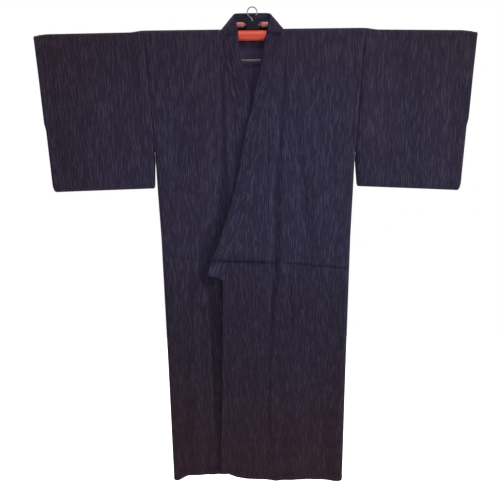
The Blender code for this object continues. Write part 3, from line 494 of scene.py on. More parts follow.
def clothPiece(name, points, coords, wall, material, reverse=None):
    # a grid of points made a thin shell, with its own weave coordinates in metres
    rows, columns = points.shape[:2]
    index = np.arange(rows * columns).reshape(rows, columns)
    corners = np.stack((index[:-1, :-1], index[:-1, 1:], index[1:, 1:], index[1:, :-1]), -1).reshape(-1, 4)
    mesh = bpy.data.meshes.new(name)
    place = points.reshape(-1, 3) + np.array(robe["place"])
    mesh.from_pydata(place.tolist(), [], corners.tolist())
    weave = mesh.uv_layers.new(name="weave")
    weave.data.foreach_set("uv", coords.reshape(-1, 2)[corners.reshape(-1)].astype(np.float32).reshape(-1))
    shape = bmesh.new()
    shape.from_mesh(mesh)
    bmesh.ops.remove_doubles(shape, verts=shape.verts, dist=0.02 * mm)
    bmesh.ops.dissolve_degenerate(shape, edges=shape.edges, dist=0.005 * mm)
    bmesh.ops.recalc_face_normals(shape, faces=shape.faces)
    shape.to_mesh(mesh)
    shape.free()
    mesh.shade_smooth()
    piece = linked(name, mesh)
    mesh.materials.append(material)
    thicken = piece.modifiers.new("cloth wall", "SOLIDIFY")
    thicken.thickness = wall
    thicken.offset = 0.0
    # the other side takes the reverse finish, which carries painted light
    if reverse:
        mesh.materials.append(reverse)
        thicken.material_offset = 1  # the cloth's other side
    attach(piece, "root")
    return piece


# ---- materials


def toLinear(hexColour):
    values = [int(hexColour[i:i + 2], 16) / 255 for i in (1, 3, 5)]
    return tuple(v / 12.92 if v <= 0.04045 else ((v + 0.055) / 1.055) ** 2.4 for v in values) + (1.0,)


def feed(tree, node, values):
    for key, value in values.items():
        if isinstance(value, bpy.types.NodeSocket):
            tree.links.new(value, node.inputs[key])
        else:
            node.inputs[key].default_value = value


def addNode(tree, kind, values=None, **settings):
    node = tree.nodes.new(kind)
    for key, value in settings.items():
        setattr(node, key, value)
    feed(tree, node, values or {})
    return node


def maths(tree, operation, *values):
    return addNode(tree, "ShaderNodeMath", dict(enumerate(values)), operation=operation).outputs[0]


def ranged(tree, value, given=(0.0, 1.0), wanted=(0.0, 1.0), kind="LINEAR"):
    values = dict(enumerate((value, *given, *wanted)))
    return addNode(tree, "ShaderNodeMapRange", values, interpolation_type=kind).outputs[0]


def mixed(tree, share, first, second, kind="MIX"):
    values = {0: share, 6: first, 7: second}
    return addNode(tree, "ShaderNodeMix", values, data_type="RGBA", blend_type=kind).outputs[2]


def tinted(tree, colour, tint):
    return mixed(tree, 1.0, colour, tint, "MULTIPLY")


def noise(tree, vector, scale, detail, roughness=0.5):
    values = {"Vector": vector, "Scale": scale, "Detail": detail, "Roughness": roughness}
    return addNode(tree, "ShaderNodeTexNoise", values).outputs["Fac"]


def ramp(tree, value, first, last, between):
    node = addNode(tree, "ShaderNodeValToRGB", {0: value})
    node.color_ramp.interpolation = "EASE"
    stops = node.color_ramp.elements
    stops[0].color, stops[1].color = first, last
    for place, colour in between:
        stops.new(place).color = colour
    return node.outputs[0]


def newMaterial(name):
    material = bpy.data.materials.new(name)
    material.use_nodes = True
    tree = material.node_tree
    return material, tree, tree.nodes["Principled BSDF"]


noTint = (1.0, 1.0, 1.0, 1.0)
weaveLook = {
    "groundViolet": "#271e2e",
    "groundNavy": "#232236",
    "streakFaint": "#322f41",
    "streakBright": "#484659",
    "fineStreaks": {"pitch": 2.1 * mm, "length": 34 * mm, "share": 0.46, "width": 0.32, "seed": 3.0},
    "boldStreaks": {"pitch": 2.9 * mm, "length": 60 * mm, "share": 0.42, "width": 0.17, "seed": 11.0},
    "patchScale": 5.0,
    # tints, multiplied into the dyed colour, and the heights or places that each is spread over
    # painted shade towards the hem
    "lowShadeMiddle": (0.76, 0.70, 0.63, 1.0),
    "lowShade": (0.89, 0.52, 0.40, 1.0),
    "lowShadeSpan": (-0.68, -1.50), "lowShadeMiddleAt": 0.36,
    # painted shade across the robe, strongest on the viewer's left
    "sideShadeRight": (0.95, 0.83, 0.76, 1.0),
    "sideShadeLeft": (0.97, 0.95, 0.91, 1.0),
    "bluerMiddle": (1.0, 1.05, 1.12, 1.0),
    "sideShadeSpan": (-0.62, 0.62), "bluerMiddleAt": (0.30, 0.62, 0.82),
    "nearTop": (0.99, 0.87, 0.79, 1.0),
    "topSpan": (-0.32, -0.10),
    "slubSize": (3.2 * mm, 60 * mm),
    "slubShade": (0.82, 1.18),
    "thread": 1.1 * mm,
    "grain": 1.6,  # the slubs' relief beside the weave's
    "relief": 0.18 * mm, "reliefStrength": 0.35,
    "roughness": 0.88,
    "specular": 0.10,
    "sheen": 0.03,
    "sheenTint": "#8a86a8",
}


streakForm = {
    "place": (0.4, 0.3),  # across its column, varied by chance: how much, and from where
    "reach": (0.55, 0.4),  # along its cell
    "core": 0.4,
    "tail": 0.18,
    "head": 0.14,
}


def streakMask(tree, u, v, pitch, length, share, width, seed):
    # broken streaks: columns of cells, some of them filled, each shifted and cut short by chance
    column = maths(tree, "MULTIPLY", u, 1.0 / pitch)
    number = maths(tree, "FLOOR", column)
    shift = addNode(tree, "ShaderNodeTexWhiteNoise", {"W": number}, noise_dimensions="1D").outputs["Value"]
    along = maths(tree, "MULTIPLY_ADD", v, 1.0 / length, shift)
    row, run = maths(tree, "FLOOR", along), maths(tree, "FRACT", along)
    cell = addNode(tree, "ShaderNodeCombineXYZ", {0: number, 1: row, 2: seed}).outputs[0]
    chance = addNode(tree, "ShaderNodeTexWhiteNoise", {"Vector": cell}, noise_dimensions="3D").outputs["Color"]
    parts = addNode(tree, "ShaderNodeSeparateColor", {0: chance}).outputs
    filled = maths(tree, "LESS_THAN", parts[0], share)
    middle = maths(tree, "MULTIPLY_ADD", parts[1], *streakForm["place"])
    away = maths(tree, "ABSOLUTE", maths(tree, "SUBTRACT", maths(tree, "FRACT", column), middle))
    stroke = ranged(tree, away, (width, width * streakForm["core"]), kind="SMOOTHSTEP")
    left = maths(tree, "SUBTRACT", maths(tree, "MULTIPLY_ADD", parts[2], *streakForm["reach"]), run)
    tail = ranged(tree, left, (0.0, streakForm["tail"]), kind="SMOOTHSTEP")
    head = ranged(tree, run, (0.0, streakForm["head"]), kind="SMOOTHSTEP")
    body = maths(tree, "MULTIPLY", maths(tree, "MULTIPLY", tail, head), stroke)
    return maths(tree, "MULTIPLY", body, filled)


def threads(tree, coordinate, look):
    return maths(tree, "SINE", maths(tree, "MULTIPLY", coordinate, 6.2832 / look["thread"]))


def indigoCotton(name, look):
    # plain-woven cotton dyed indigo with resist-dyed warp: matt, a faint nap, and broken pale streaks
    material, tree, shader = newMaterial(name)
    weave = addNode(tree, "ShaderNodeUVMap", uv_map="weave").outputs[0]
    u, v = addNode(tree, "ShaderNodeSeparateXYZ", {0: weave}).outputs[:2]
    place = addNode(tree, "ShaderNodeTexCoord").outputs["Object"]
    across, _, height = addNode(tree, "ShaderNodeSeparateXYZ", {0: place}).outputs
    # the dye takes unevenly over a hand's breadth
    patches = noise(tree, place, look["patchScale"], 3.0)
    colour = mixed(tree, patches, toLinear(look["groundNavy"]), toLinear(look["groundViolet"]))
    # slubs darken and lighten the warp, drawn some threads wide so that they show
    slubScale = tuple(1 / size for size in look["slubSize"]) + (1.0,)
    stretched = addNode(tree, "ShaderNodeVectorMath", {0: weave, 1: slubScale}, operation="MULTIPLY").outputs[0]
    slub = noise(tree, stretched, 1.0, 2.0, 0.6)
    colour = tinted(tree, colour, ranged(tree, slub, (0.3, 0.7), look["slubShade"]))
    for streaks, pale in (("fineStreaks", "streakFaint"), ("boldStreaks", "streakBright")):
        colour = mixed(tree, streakMask(tree, u, v, **look[streaks]), colour, toLinear(look[pale]))
    # painted shade: the skirt is darkened and warmed towards the hem, the more the lower, standing in for light
    # that falls off downwards
    lowness = ranged(tree, height, look["lowShadeSpan"])
    middle = ((look["lowShadeMiddleAt"], look["lowShadeMiddle"]),)
    colour = tinted(tree, colour, ramp(tree, lowness, noTint, look["lowShade"], middle))
    # painted shade: the wearer's right side, on the viewer's left, is darkened and warmed the most and the left
    # side a little, standing in for light that comes from the viewer's right; the middle is bluer
    sideways = ranged(tree, across, look["sideShadeSpan"])
    bluerStops = zip(look["bluerMiddleAt"], (noTint, look["bluerMiddle"], noTint))
    colour = tinted(tree, colour, ramp(tree, sideways, look["sideShadeRight"], look["sideShadeLeft"], bluerStops))
    # towards the top the cloth is tinted redder; with the neckband's look this tint is painted shade, darker
    # where the band turns round the neck, and with the reverse's look it is painted light, paler towards the
    # top
    shoulders = mixed(tree, ranged(tree, height, look["topSpan"]), noTint, look["nearTop"])
    # the weave's real pitch is 0.5 mm; it is drawn at about twice that so that it shows close up
    weaving = maths(tree, "MULTIPLY", threads(tree, u, look), threads(tree, v, look))
    grainy = maths(tree, "MULTIPLY_ADD", slub, look["grain"], weaving)
    raised = {"Strength": look["reliefStrength"], "Distance": look["relief"], "Height": grainy}
    bump = addNode(tree, "ShaderNodeBump", raised)
    rough = look["roughness"]
    feed(tree, shader, {
        "Base Color": tinted(tree, colour, shoulders),
        "Normal": bump.outputs[0],
        "Roughness": ranged(tree, slub, wanted=(rough - 0.05, rough + 0.06)),
        "Specular IOR Level": look["specular"],
        "Sheen Weight": look["sheen"],
        "Sheen Roughness": 0.5,
        "Sheen Tint": toLinear(look["sheenTint"]),
    })
    return material


clothFinish = indigoCotton("indigo kasuri cotton", weaveLook)
# painted light: the reverse is made paler, and paler still towards the top, so that the inside seen through the
# open neck looks lit
reverseLook = dict(
    weaveLook, groundViolet="#352a3d", groundNavy="#302c45", streakFaint="#3d3748", streakBright="#494353",
    nearTop=(1.32, 1.30, 1.28, 1.0),
)
reverseFinish = indigoCotton("indigo kasuri cotton, reverse", reverseLook)
bandLook = dict(
    # painted shade: the neckband is darkened towards the top, where it turns round the neck
    weaveLook, nearTop=(0.82, 0.70, 0.68, 1.0),
    fineStreaks=dict(weaveLook["fineStreaks"], pitch=2.0 * mm),
    boldStreaks=dict(weaveLook["boldStreaks"], pitch=3.7 * mm),
)
bandFinish = indigoCotton("indigo kasuri cotton, neckband", bandLook)


# ---- body lengths

print("body lengths")

bodyLook = {
    "width": 0.28,
    "frontRows": 0.0062,
    "backRows": 0.0090,
    "columns": 0.0036,
    "hemTurn": 0.021,
    "creased": ((0.668, 0.745), (1.455, 1.5)),
    "backCreased": ((0.352, 0.374), (0.690, 0.730), (1.080, 1.102)),
}


def bandSeam(bands, drop):
    table = np.array(bands).T
    return np.interp(drop / cm, table[0], table[1]) * cm


def panelSeam(panel, drop):
    return np.interp(drop / cm, panel[0], panel[1]) * cm


def downTo(hem, x, drop):
    # stretches the lowest part of a sheet so that its last row lies on the hem
    start, last = robe["hemStart"], np.interp(x / cm, *hem) * cm
    return np.where(drop > start, start + (drop - start) * (last - start) / robe["hemReach"], drop)


def hemEdge(hem, x, down):
    return turnedEdge(downTo(hem, x, robe["length"]) - down, bodyLook["hemTurn"])


def innerEdge(drop, bands, panel):
    tucked = robe["tuckUnder"] * ease((robe["pointDrop"] - drop) / 0.03)
    onBand = bandSeam(bands, drop) - tucked
    return np.where(drop < robe["pointDrop"], onBand, panelSeam(panel, drop) + seamLook["gap"] / 2)


def bodyFront(sign, bands, panel, hem, shares, firstRows=0.03):
    # from the shoulder's front down
    upper, radius = sign > 0, robe["foldRadius"]
    drops = levels(radius, robe["length"], bodyLook["frontRows"], bodyLook["creased"])[:, None]
    topEdge = (neckTurn[0][1] + sign * neckShift) * cm - robe["tuckUnder"]
    start = mix(topEdge, innerEdge(firstRows, bands, panel), (drops - radius) / (firstRows - radius))
    inner = np.where(drops < firstRows, start, innerEdge(drops, bands, panel))
    x = sign * mix(inner, sideHalf(drops), shares)
    down = downTo(hem, x, drops)
    y = frontDepth(x, down, upper) + frontDetail(x, down, upper)
    y = y + armholePull(sideHalf(drops) - np.abs(x), drops) * aboveArmpit(drops)
    y = y + seamPull(np.abs(x) - inner, drops, seeds["panelSeam"]) * ease((drops - robe["pointDrop"]) / 0.01)
    y = y + hemEdge(hem, x, down)
    return placed(x, y, -down), placed(x, -(down + robe["arc"] * radius))


def bodyShoulder(sign, shares):
    radius = robe["foldRadius"]
    angles = np.linspace(-90, 90, 25)[1:-1, None]
    corners = [row[0] for row in neckTurn] + [45.0, 90.0]
    edges = [row[1] * cm + sign * neckShift * cm - robe["tuckUnder"] for row in neckTurn]
    edges += [seamLook["gap"] / 2] * 2
    x = sign * mix(np.interp(angles, corners, edges), robe["shoulderHalf"], shares)
    over = foldPoint(x, angles)
    dip = seamPull(robe["shoulderHalf"] - np.abs(x), np.radians(angles) * radius, seeds["armhole"])
    over = over - over * np.array((0, 1, 1)) * (dip / radius)[..., None]
    return over, placed(x, np.radians(angles) * radius)


def bodyBack(sign, shares):
    radius = robe["foldRadius"]
    drops = levels(radius, robe["length"], bodyLook["backRows"], bodyLook["backCreased"])[:, None]
    x = sign * mix(seamLook["gap"] / 2, sideHalf(drops), shares)
    down = downTo(backHem, x, drops)
    y = backDepth(x, down) + backDetail(x, down)
    y = y - armholePull(sideHalf(drops) - np.abs(x), drops) * aboveArmpit(drops)
    y = y - seamPull(sign * x, drops, seeds["backSeam"])
    y = y - hemEdge(backHem, x, down)
    return placed(x, y, -down), placed(x, down + robe["arc"] * radius)


def joined(front, over, back):
    # from the front hem up, over the shoulder and down the back: points, and weave coordinates
    return [np.concatenate((a[::-1], b, c)) for a, b, c in zip(front, over, back)]


def bodyLength(name, sign, bands, panel, hem):
    # the wearer's right front runs a little under its overlap panel
    shares = finerNear(bodyLook["width"], bodyLook["columns"], 0.0 if sign > 0 else seamLook["past"])[None, :]
    front = bodyFront(sign, bands, panel, hem, shares)
    points, coords = joined(front, bodyShoulder(sign, shares), bodyBack(sign, shares))
    piece = clothPiece(name, points, coords, robe["wall"], clothFinish, reverse=reverseFinish)
    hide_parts(name.replace("cloth_", ""))


bodyLength("cloth_body_left", 1.0, leftBand, leftPanel, upperHem)
bodyLength("cloth_body_right", -1.0, rightBand, rightPanel, lowerHem)


# ---- overlap panels

print("overlap panels")

panelLook = {
    "width": 0.15,
    "rows": 0.0060,
    "columns": 0.0034,
    "edgeTurn": 0.016,
    "creased": ((0.43, 0.525),) + bodyLook["creased"],
}


def overlapPanel(name, sign, bands, panel, hem):
    upper = sign > 0
    shares = 1.0 - finerNear(panelLook["width"], panelLook["columns"], seamLook["past"])[None, ::-1]
    drops = levels(robe["pointDrop"], robe["length"], panelLook["rows"], panelLook["creased"])[:, None]
    seam = panelSeam(panel, drops) - seamLook["gap"] / 2
    below = np.interp(drops / cm, panel[0], panel[2]) * cm
    end = bandEnd * cm
    tucked = robe["tuckUnder"] * ease((drops - robe["pointDrop"]) / 0.04) * ease((end - drops) / 0.02)
    edge = np.where(drops <= end, bandSeam(bands, drops) - tucked, below)
    x = sign * mix(edge, seam, shares)
    down = downTo(hem, x, drops)
    y = frontDepth(x, down, upper) + frontDetail(x, down, upper)
    y = y + seamPull(sign * (sign * seam - x), drops, seeds["panelEdge"])
    y = y + turnedEdge(sign * (x - sign * edge), panelLook["edgeTurn"]) * ease((drops - end) / 0.02)
    y = y + hemEdge(hem, x, down)
    # the panel's stripes don't meet those of the body
    coords = placed(x + 0.4, -down)
    piece = clothPiece(name, placed(x, y, -down), coords, robe["wall"], clothFinish)
    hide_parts(name.replace("cloth_", ""))


overlapPanel("cloth_okumi_left", 1.0, leftBand, leftPanel, upperHem)
overlapPanel("cloth_okumi_right", -1.0, rightBand, rightPanel, lowerHem)


# ---- sleeves

print("sleeves")

sleeveLook = {
    "width": 0.33,
    "rows": 0.0050,
    "columns": 0.0038,
    "drop": 0.466,
    "typicalDrop": 0.47,
    "lean": 0.013,  # how far the end leans in towards the bottom
    "hang": 0.009,
    "innerCorner": (0.012, 0.005),  # height and width of the rounded corners
    "outerCorner": (0.026, 0.009),
    "sewnWall": 1.4 * mm,
    "topRadius": 0.014, "seamRadius": 0.016, "weaveRadius": 0.013,  # of the fold over the rod
    "cuffOpening": 0.26,
    "cuffCloses": 0.03,
    "cuffTurn": 0.014,
    # the turned cuff is plain at the opening and nearly hidden where the end is sewn
    "cuffPlain": 0.28, "cuffHidden": 0.25, "cuffFades": 0.03, "hiddenShare": 0.4,
    "armholeShuts": (0.33, 0.02),
    # shares of the sleeve: it leaves the body's depth, and its folded and sewn edges are rounded
    "leavesBody": 0.25, "roundInner": 0.10, "roundEnd": 0.08, "roundBottom": 0.05,
    "calmSeam": 0.02, "calmEdge": 0.05,  # no wrinkles here
}
# end, end drop, gap beside the body at its bottom, and waves: share across, half width as a share, depth in mm
leftSleeve = {
    "sign": 1.0, "end": 0.662, "endDrop": 0.482, "gap": 0.010,
    "waves": ((0.30, 0.10, 2.0), (0.62, 0.12, -2.0), (0.85, 0.06, 1.5)),
}
rightSleeve = {
    "sign": -1.0, "end": 0.654, "endDrop": 0.474, "gap": 0.006,
    "waves": ((0.10, 0.07, 1.4), (0.55, 0.19, -3.4), (0.92, 0.06, 1.4)),
}
# drop, distance out from the armhole, half width and depth
sleeveWrinkles = (
    ((3, 3, 1, 0), (14, 3.8, 1.4, 0.9), (30, 5, 1.5, 0.7), (44, 6, 1.3, 0)),
    ((8, 1, 0.5, 0), (13, 2, 0.6, -0.9), (20, 3.6, 0.7, -0.7), (25, 5.2, 0.6, 0)),
    ((10, 12.5, 1.2, 0), (26, 13.4, 1.6, 0.9), (42, 13.8, 1.4, 0)),
    ((18, 24, 1.2, 0), (34, 24.4, 1.6, -0.8), (46, 24.6, 1.4, -0.4)),
)


def cornerCut(drop, bottom, height, cut):
    q = clamp((drop - (bottom - height)) / height)
    return cut * (1.0 - np.sqrt(1.0 - q * q))


def sleeveInner(drop, gap):
    onSeam = sideHalf(drop) + seamLook["gap"] + sleeveLook["sewnWall"] * armholeClosed(drop)
    bottom, armhole = sleeveLook["drop"], robe["armhole"]
    spread = gap * clamp((drop - armhole) / (bottom - armhole))
    return onSeam + spread + np.where(drop > armhole, cornerCut(drop, bottom, *sleeveLook["innerCorner"]), 0.0)


def waveAt(waves, share, drop):
    total = 0.0
    for place, halfWidth, depth in waves:
        total = total + depth * mm * swell((share - place) / halfWidth)
    return total * ease(drop / 0.20)


def cuffEdge(shares):
    return turnedEdge((1.0 - shares) * sleeveLook["width"], sleeveLook["cuffTurn"])


def sleeveSide(shape, shares, rows, front):
    look, sign, side = sleeveLook, shape["sign"], -1.0 if front else 1.0
    # the cloth runs on into the armhole only where that is open
    shutFrom, shutOver = look["armholeShuts"]
    shut = ease((rows * look["typicalDrop"] - shutFrom) / shutOver)
    shares = np.where(shares < 0, shares * (1.0 - shut), shares)
    drop = rows * mix(look["drop"], shape["endDrop"], shares)
    inner = sleeveInner(np.minimum(drop, look["drop"]), shape["gap"])
    leaned = shape["end"] - look["lean"] * drop / shape["endDrop"]
    x = sign * mix(inner, leaned - cornerCut(drop, shape["endDrop"], *look["outerCorner"]), shares)
    drop = np.maximum(drop, topDrop(x) + foldRadius(x))
    hang = mix(foldRadius(x), look["hang"], settled(x, drop)) * side
    hang = hang + waveAt(shape["waves"], shares, drop)
    # it leaves the body's own depth at the armhole
    edgeX = sign * sideHalf(drop)
    armDepth = frontDepth(edgeX, drop, sign > 0) if front else backDepth(edgeX, drop)
    armDepth = np.where(drop < robe["armhole"], armDepth, 0.0)
    leave = mix(ease(shares / look["leavesBody"]), rounded(shares, look["roundInner"]), armholeClosed(drop))
    # both sides meet at the bottom, and at the end below the opening for the hand
    sewn = ease((drop - look["cuffOpening"]) / look["cuffCloses"])
    keep = mix(1.0, rounded(1.0 - shares, look["roundEnd"]), sewn) * rounded(1.0 - rows, look["roundBottom"])
    depth = mix(armDepth, hang, leave) * keep
    out = np.abs(x) - sideHalf(drop)
    fine = relief(sleeveWrinkles, drop, out) + handling(x + side, drop, seeds["sleeve"])
    aboveBottom = ease((1.0 - rows) / look["calmEdge"])
    fine = fine * ease(out / look["calmSeam"]) * aboveBottom * ease((1.0 - shares) / look["calmEdge"])
    pulled = armholePull(out, drop) * aboveArmpit(drop)
    cuff = cuffEdge(shares) * aboveBottom
    depth = depth + (fine * side * -1.0 if front else fine) - side * pulled
    depth = depth - side * cuff * ease((look["cuffPlain"] - drop) / look["cuffFades"])
    below = ease((drop - look["cuffHidden"]) / look["cuffFades"])
    depth = depth - side * look["hiddenShare"] * cuff * below * keep
    return placed(x, depth, -drop), placed(x, side * (drop + 0.006))


def sleeveTop(shape, shares):
    angles = np.linspace(-90, 90, 19)[:, None]
    x = shape["sign"] * mix(robe["shoulderHalf"] + seamLook["gap"], shape["end"], shares)
    over = foldPoint(x, angles)
    arc = np.radians(angles)
    pulled = seamPull(np.abs(x) - robe["shoulderHalf"], arc * sleeveLook["topRadius"], seeds["armhole"], 0.6)
    cuff = cuffEdge(shares) * np.ones_like(angles)
    for inwards, radius in ((pulled, sleeveLook["seamRadius"]), (cuff, robe["rodRadius"])):
        over = over - over * np.array((0, 1, 1)) * (inwards / radius)[..., None]
    return over, placed(x, arc * sleeveLook["weaveRadius"])


def sleeve(name, shape):
    shares = finerNear(sleeveLook["width"], sleeveLook["columns"], seamLook["past"])[None, :]
    nearBottom = np.array((0, 0.004, 0.010, 0.018, 0.028, 0.040))
    rows = levels(0.038, 0.95, sleeveLook["rows"] / sleeveLook["typicalDrop"])
    rows = np.concatenate((rows, 1.0 - nearBottom[::-1]))[:, None]
    front, back = (sleeveSide(shape, shares, rows, side) for side in (True, False))
    points, coords = joined(front, sleeveTop(shape, shares), back)
    piece = clothPiece(name, points, coords, robe["wall"], clothFinish)
    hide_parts(name.replace("cloth_", ""))


sleeve("cloth_sleeve_left", leftSleeve)
sleeve("cloth_sleeve_right", rightSleeve)


# ---- neckbands

print("neckbands")

bandForm = {
    "spacing": 0.0031,
    "across": 19,
    "bareHalf": 0.75 * mm,
    "pressedHalf": 0.25 * mm,  # under the second band
    "wrapHalf": 1.3 * mm,
    "wall": 0.45 * mm,
    "wrapWall": 0.9 * mm,
    "crown": 0.7 * mm,
    "wrapTip": -0.5 * mm,
    # the left band's loose end stands off the panel: mm, from which drop, and over how far
    "lifts": ((3.0, 0.50, 0.12), (10.5, 0.709, 0.046)),
}


def bandStations():
    # from the end on the wearer's right front, round the neck, to the end on the left:
    # rows of the seam's point, the free edge's point, the drop, and 1 on the fronts
    sides = []
    for sign, bands in ((-1.0, rightBand), (1.0, leftBand)):
        made = [
            ((sign * seamX, 0.0, -seamDrop), (sign * freeX, 0.0, -freeDrop), seamDrop, 1.0)
            for seamDrop, seamX, freeDrop, freeX in reversed(bands)
        ]
        for angle, seamX, freeX, freeY, freeZ in neckTurn:
            seam = foldPoint(np.array(sign * seamX + neckShift) * cm, angle) / cm
            made.append((tuple(seam), (sign * freeX + neckShift, freeY, freeZ), 0.0, 0.0))
        corner = np.array(made[-1][0])
        middle = foldPoint(np.array(neckShift * cm), 45.0) / cm
        for share, freeX, freeY, freeZ in neckBack:
            made.append((tuple(mix(corner, middle, share)), (sign * freeX + neckShift, freeY, freeZ), 0.0, 0.0))
        sides.append(made)
    return sides[0] + sides[1][-2::-1]


def smoothPath(values, places):
    # a curve through rows of values at evenly numbered stations
    padded = np.concatenate((2 * values[:1] - values[1:2], values, 2 * values[-1:] - values[-2:-1]))
    i = np.clip(np.floor(places).astype(int), 0, len(values) - 2)
    t = (places - i)[:, None]
    a, b, c, d = padded[i], padded[i + 1], padded[i + 2], padded[i + 3]
    return 0.5 * (2 * b + (c - a) * t + (2 * a - 5 * b + 4 * c - d) * t ** 2 + (3 * b - a - 3 * c + d) * t ** 3)


def bandSurface():
    stations = bandStations()
    seams, frees, drops, onFronts = (np.array(column) for column in zip(*stations))
    seams, frees = seams * cm, frees * cm
    numbers = np.arange(len(stations))
    lengths = np.concatenate(((0,), np.cumsum(np.linalg.norm(np.diff((seams + frees) / 2, axis=0), axis=1))))
    count = int(lengths[-1] / bandForm["spacing"])
    places = np.interp(np.linspace(0, lengths[-1], count + 1), lengths, numbers)
    # keeps a row exactly at the second band's two ends
    for stop in np.flatnonzero(np.abs(drops - overBandEnd) < 0.01):
        places[np.argmin(np.abs(places - stop))] = stop
    seam, free = smoothPath(seams, places), smoothPath(frees, places)
    onFront = np.interp(places, numbers, onFronts)
    upper = places > len(stations) / 2
    shares = np.linspace(0.0, 1.0, bandForm["across"])
    width = np.linalg.norm(free - seam, axis=1)
    start = np.clip(0.2 * mm / width, 0, 0.2)[:, None]
    points = seam[:, None, :] + (free - seam)[:, None, :] * mix(start, 1.0, shares[None, :])[..., None]
    # on the fronts it lies on the cloth
    for layer in (True, False):
        rows = (onFront > 0) & (upper == layer)
        x, y, drop = points[rows, :, 0], points[rows, :, 1], -points[rows, :, 2]
        laid = frontDepth(x, np.maximum(drop, robe["foldRadius"]), layer)
        laid = laid + frontDetail(x, drop, layer) * ease((drop - 0.05) / 0.05)
        points[rows, :, 1] = mix(y, laid, onFront[rows][:, None])
    along = np.interp(places, numbers, lengths)
    return points, along, np.interp(places, numbers, drops) * cm, onFront, upper


def bandDirections(points):
    forward = np.gradient(points, axis=0)
    across = points[:, -1:] - points[:, :1]
    across = across / np.linalg.norm(across, axis=-1, keepdims=True)
    out = np.cross(forward, np.broadcast_to(across, points.shape))
    return across, out / np.linalg.norm(out, axis=-1, keepdims=True)


def foldedBand(name, points, along, half, crown, wall, tipIn):
    # one face behind, round the free edge, and one in front, in a single strip
    across, out = bandDirections(points)
    shares = np.linspace(0, 1, points.shape[1])[None, :, None]
    puff = crown * (1.0 - (2.0 * shares - 1.0) ** 2)
    behind = points + out * (half + 0.3 * puff)
    before = points - out * (half + puff)
    turns = np.radians(np.linspace(20, 160, 7))[None, :, None]
    tip = points[:, -1:] + across * tipIn
    tip = tip + half * (np.cos(turns) * out[:, -1:] + np.sin(turns) * across)
    path = np.concatenate((behind, tip, before[:, ::-1]), axis=1)
    steps = np.linalg.norm(np.diff(path, axis=1), axis=-1)
    girth = np.concatenate((np.zeros((len(path), 1)), np.cumsum(steps, axis=1)), axis=1)
    piece = clothPiece(name, path, placed(girth, along[:, None]), wall, bandFinish)
    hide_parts(name.replace("cloth_", ""))


bandPoints, bandAlong, bandDrop, bandOnFront, bandUpper = bandSurface()
lift = sum(height * ease((bandDrop - start) / reach) for height, start, reach in bandForm["lifts"])
lift = lift * mm * bandUpper
bandPoints[..., 1] -= lift[:, None] * ease(np.linspace(-0.35, 1.0, bandForm["across"]))[None, :]
wrapped = (bandDrop <= (overBandEnd + 0.02) * cm) | (bandOnFront < 1.0)
# under the second band, and round the neck, the first is pressed thin
thinned = np.maximum(ease((overBandEnd * cm - bandDrop + 0.008) / 0.012), 1.0 - bandOnFront)
bandHalf = mix(bandForm["bareHalf"], bandForm["pressedHalf"], thinned)[:, None, None]
bandCrown = bandForm["crown"] * (1.0 - thinned)[:, None, None]
foldedBand(
    "cloth_collar", bandPoints, bandAlong, bandHalf, bandCrown, bandForm["wall"], -bandHalf,
)
foldedBand(
    "cloth_over_collar", bandPoints[wrapped], bandAlong[wrapped], bandForm["wrapHalf"], bandForm["crown"],
    bandForm["wrapWall"], bandForm["wrapTip"],
)


# ---- stitches

print("stitches")

stitchLook = {
    "Spacing": 9 * mm,
    "Length": 2.6 * mm,
    "Thickness": 0.35 * mm,
    "Seed": 5,
    "thread": "#3a3850",
}


def cottonThread():
    # two-ply cotton sewing thread dyed to match: matt, with the twist drawn coarse enough to show
    material, tree, shader = newMaterial("indigo cotton sewing thread")
    place = addNode(tree, "ShaderNodeTexCoord").outputs["Object"]
    values = {"Vector": place, "Scale": 620.0, "Distortion": 1.5}
    twist = addNode(tree, "ShaderNodeTexWave", values, bands_direction="DIAGONAL").outputs["Fac"]
    feed(tree, shader, {
        "Base Color": tinted(tree, toLinear(stitchLook["thread"]), ranged(tree, twist, wanted=(0.7, 1.2))),
        "Roughness": 0.85,
        "Specular IOR Level": 0.15,
    })
    return material


def stitchTree(material):
    # a short stitch on every point along the seam lines, each turned and sized a little differently
    tree = bpy.data.node_groups.new("stitches along seams", "GeometryNodeTree")

    def add(kind, values=None, **settings):
        return addNode(tree, kind, values, **settings).outputs

    kinds = {"Geometry": "Geometry", "Spacing": "Float", "Length": "Float", "Thickness": "Float", "Seed": "Int"}
    for label, kind in kinds.items():
        tree.interface.new_socket(label, in_out="INPUT", socket_type="NodeSocket" + kind)
    tree.interface.new_socket("Geometry", in_out="OUTPUT", socket_type="NodeSocketGeometry")
    given = add("NodeGroupInput")
    lines = add("GeometryNodeMeshToCurve", {"Mesh": given["Geometry"]})
    spaced = add("GeometryNodeResampleCurve", {"Curve": lines[0], "Length": given["Spacing"]}, mode="LENGTH")
    turned = add("FunctionNodeAlignRotationToVector", {"Vector": add("GeometryNodeInputTangent")[0]}, axis="X")
    leans = {0: (0.0, -0.35, -0.1), 1: (0.0, 0.35, 0.1), "Seed": given["Seed"]}
    lean = add("FunctionNodeRandomValue", leans, data_type="FLOAT_VECTOR")
    leaned = add("FunctionNodeRotateRotation", {0: turned[0], 1: lean[0]}, rotation_space="LOCAL")
    sized = add("FunctionNodeRandomValue", {2: 0.75, 3: 1.2, "Seed": given["Seed"]}, data_type="FLOAT")
    stitch = add("GeometryNodeMeshUVSphere", {"Segments": 6, "Rings": 4, "Radius": 1.0})
    size = add("ShaderNodeCombineXYZ", {0: given["Length"], 1: given["Thickness"], 2: given["Thickness"]})
    shaped = add("GeometryNodeTransform", {"Geometry": stitch[0], "Scale": size[0]})
    scattered = add("GeometryNodeInstanceOnPoints", {
        "Points": spaced[0], "Instance": shaped[0], "Rotation": leaned[0], "Scale": sized[1],
    })
    real = add("GeometryNodeRealizeInstances", {0: scattered[0]})
    finished = add("GeometryNodeSetMaterial", {"Geometry": real[0], "Material": material})
    add("NodeGroupOutput", {0: finished[0]})
    return tree


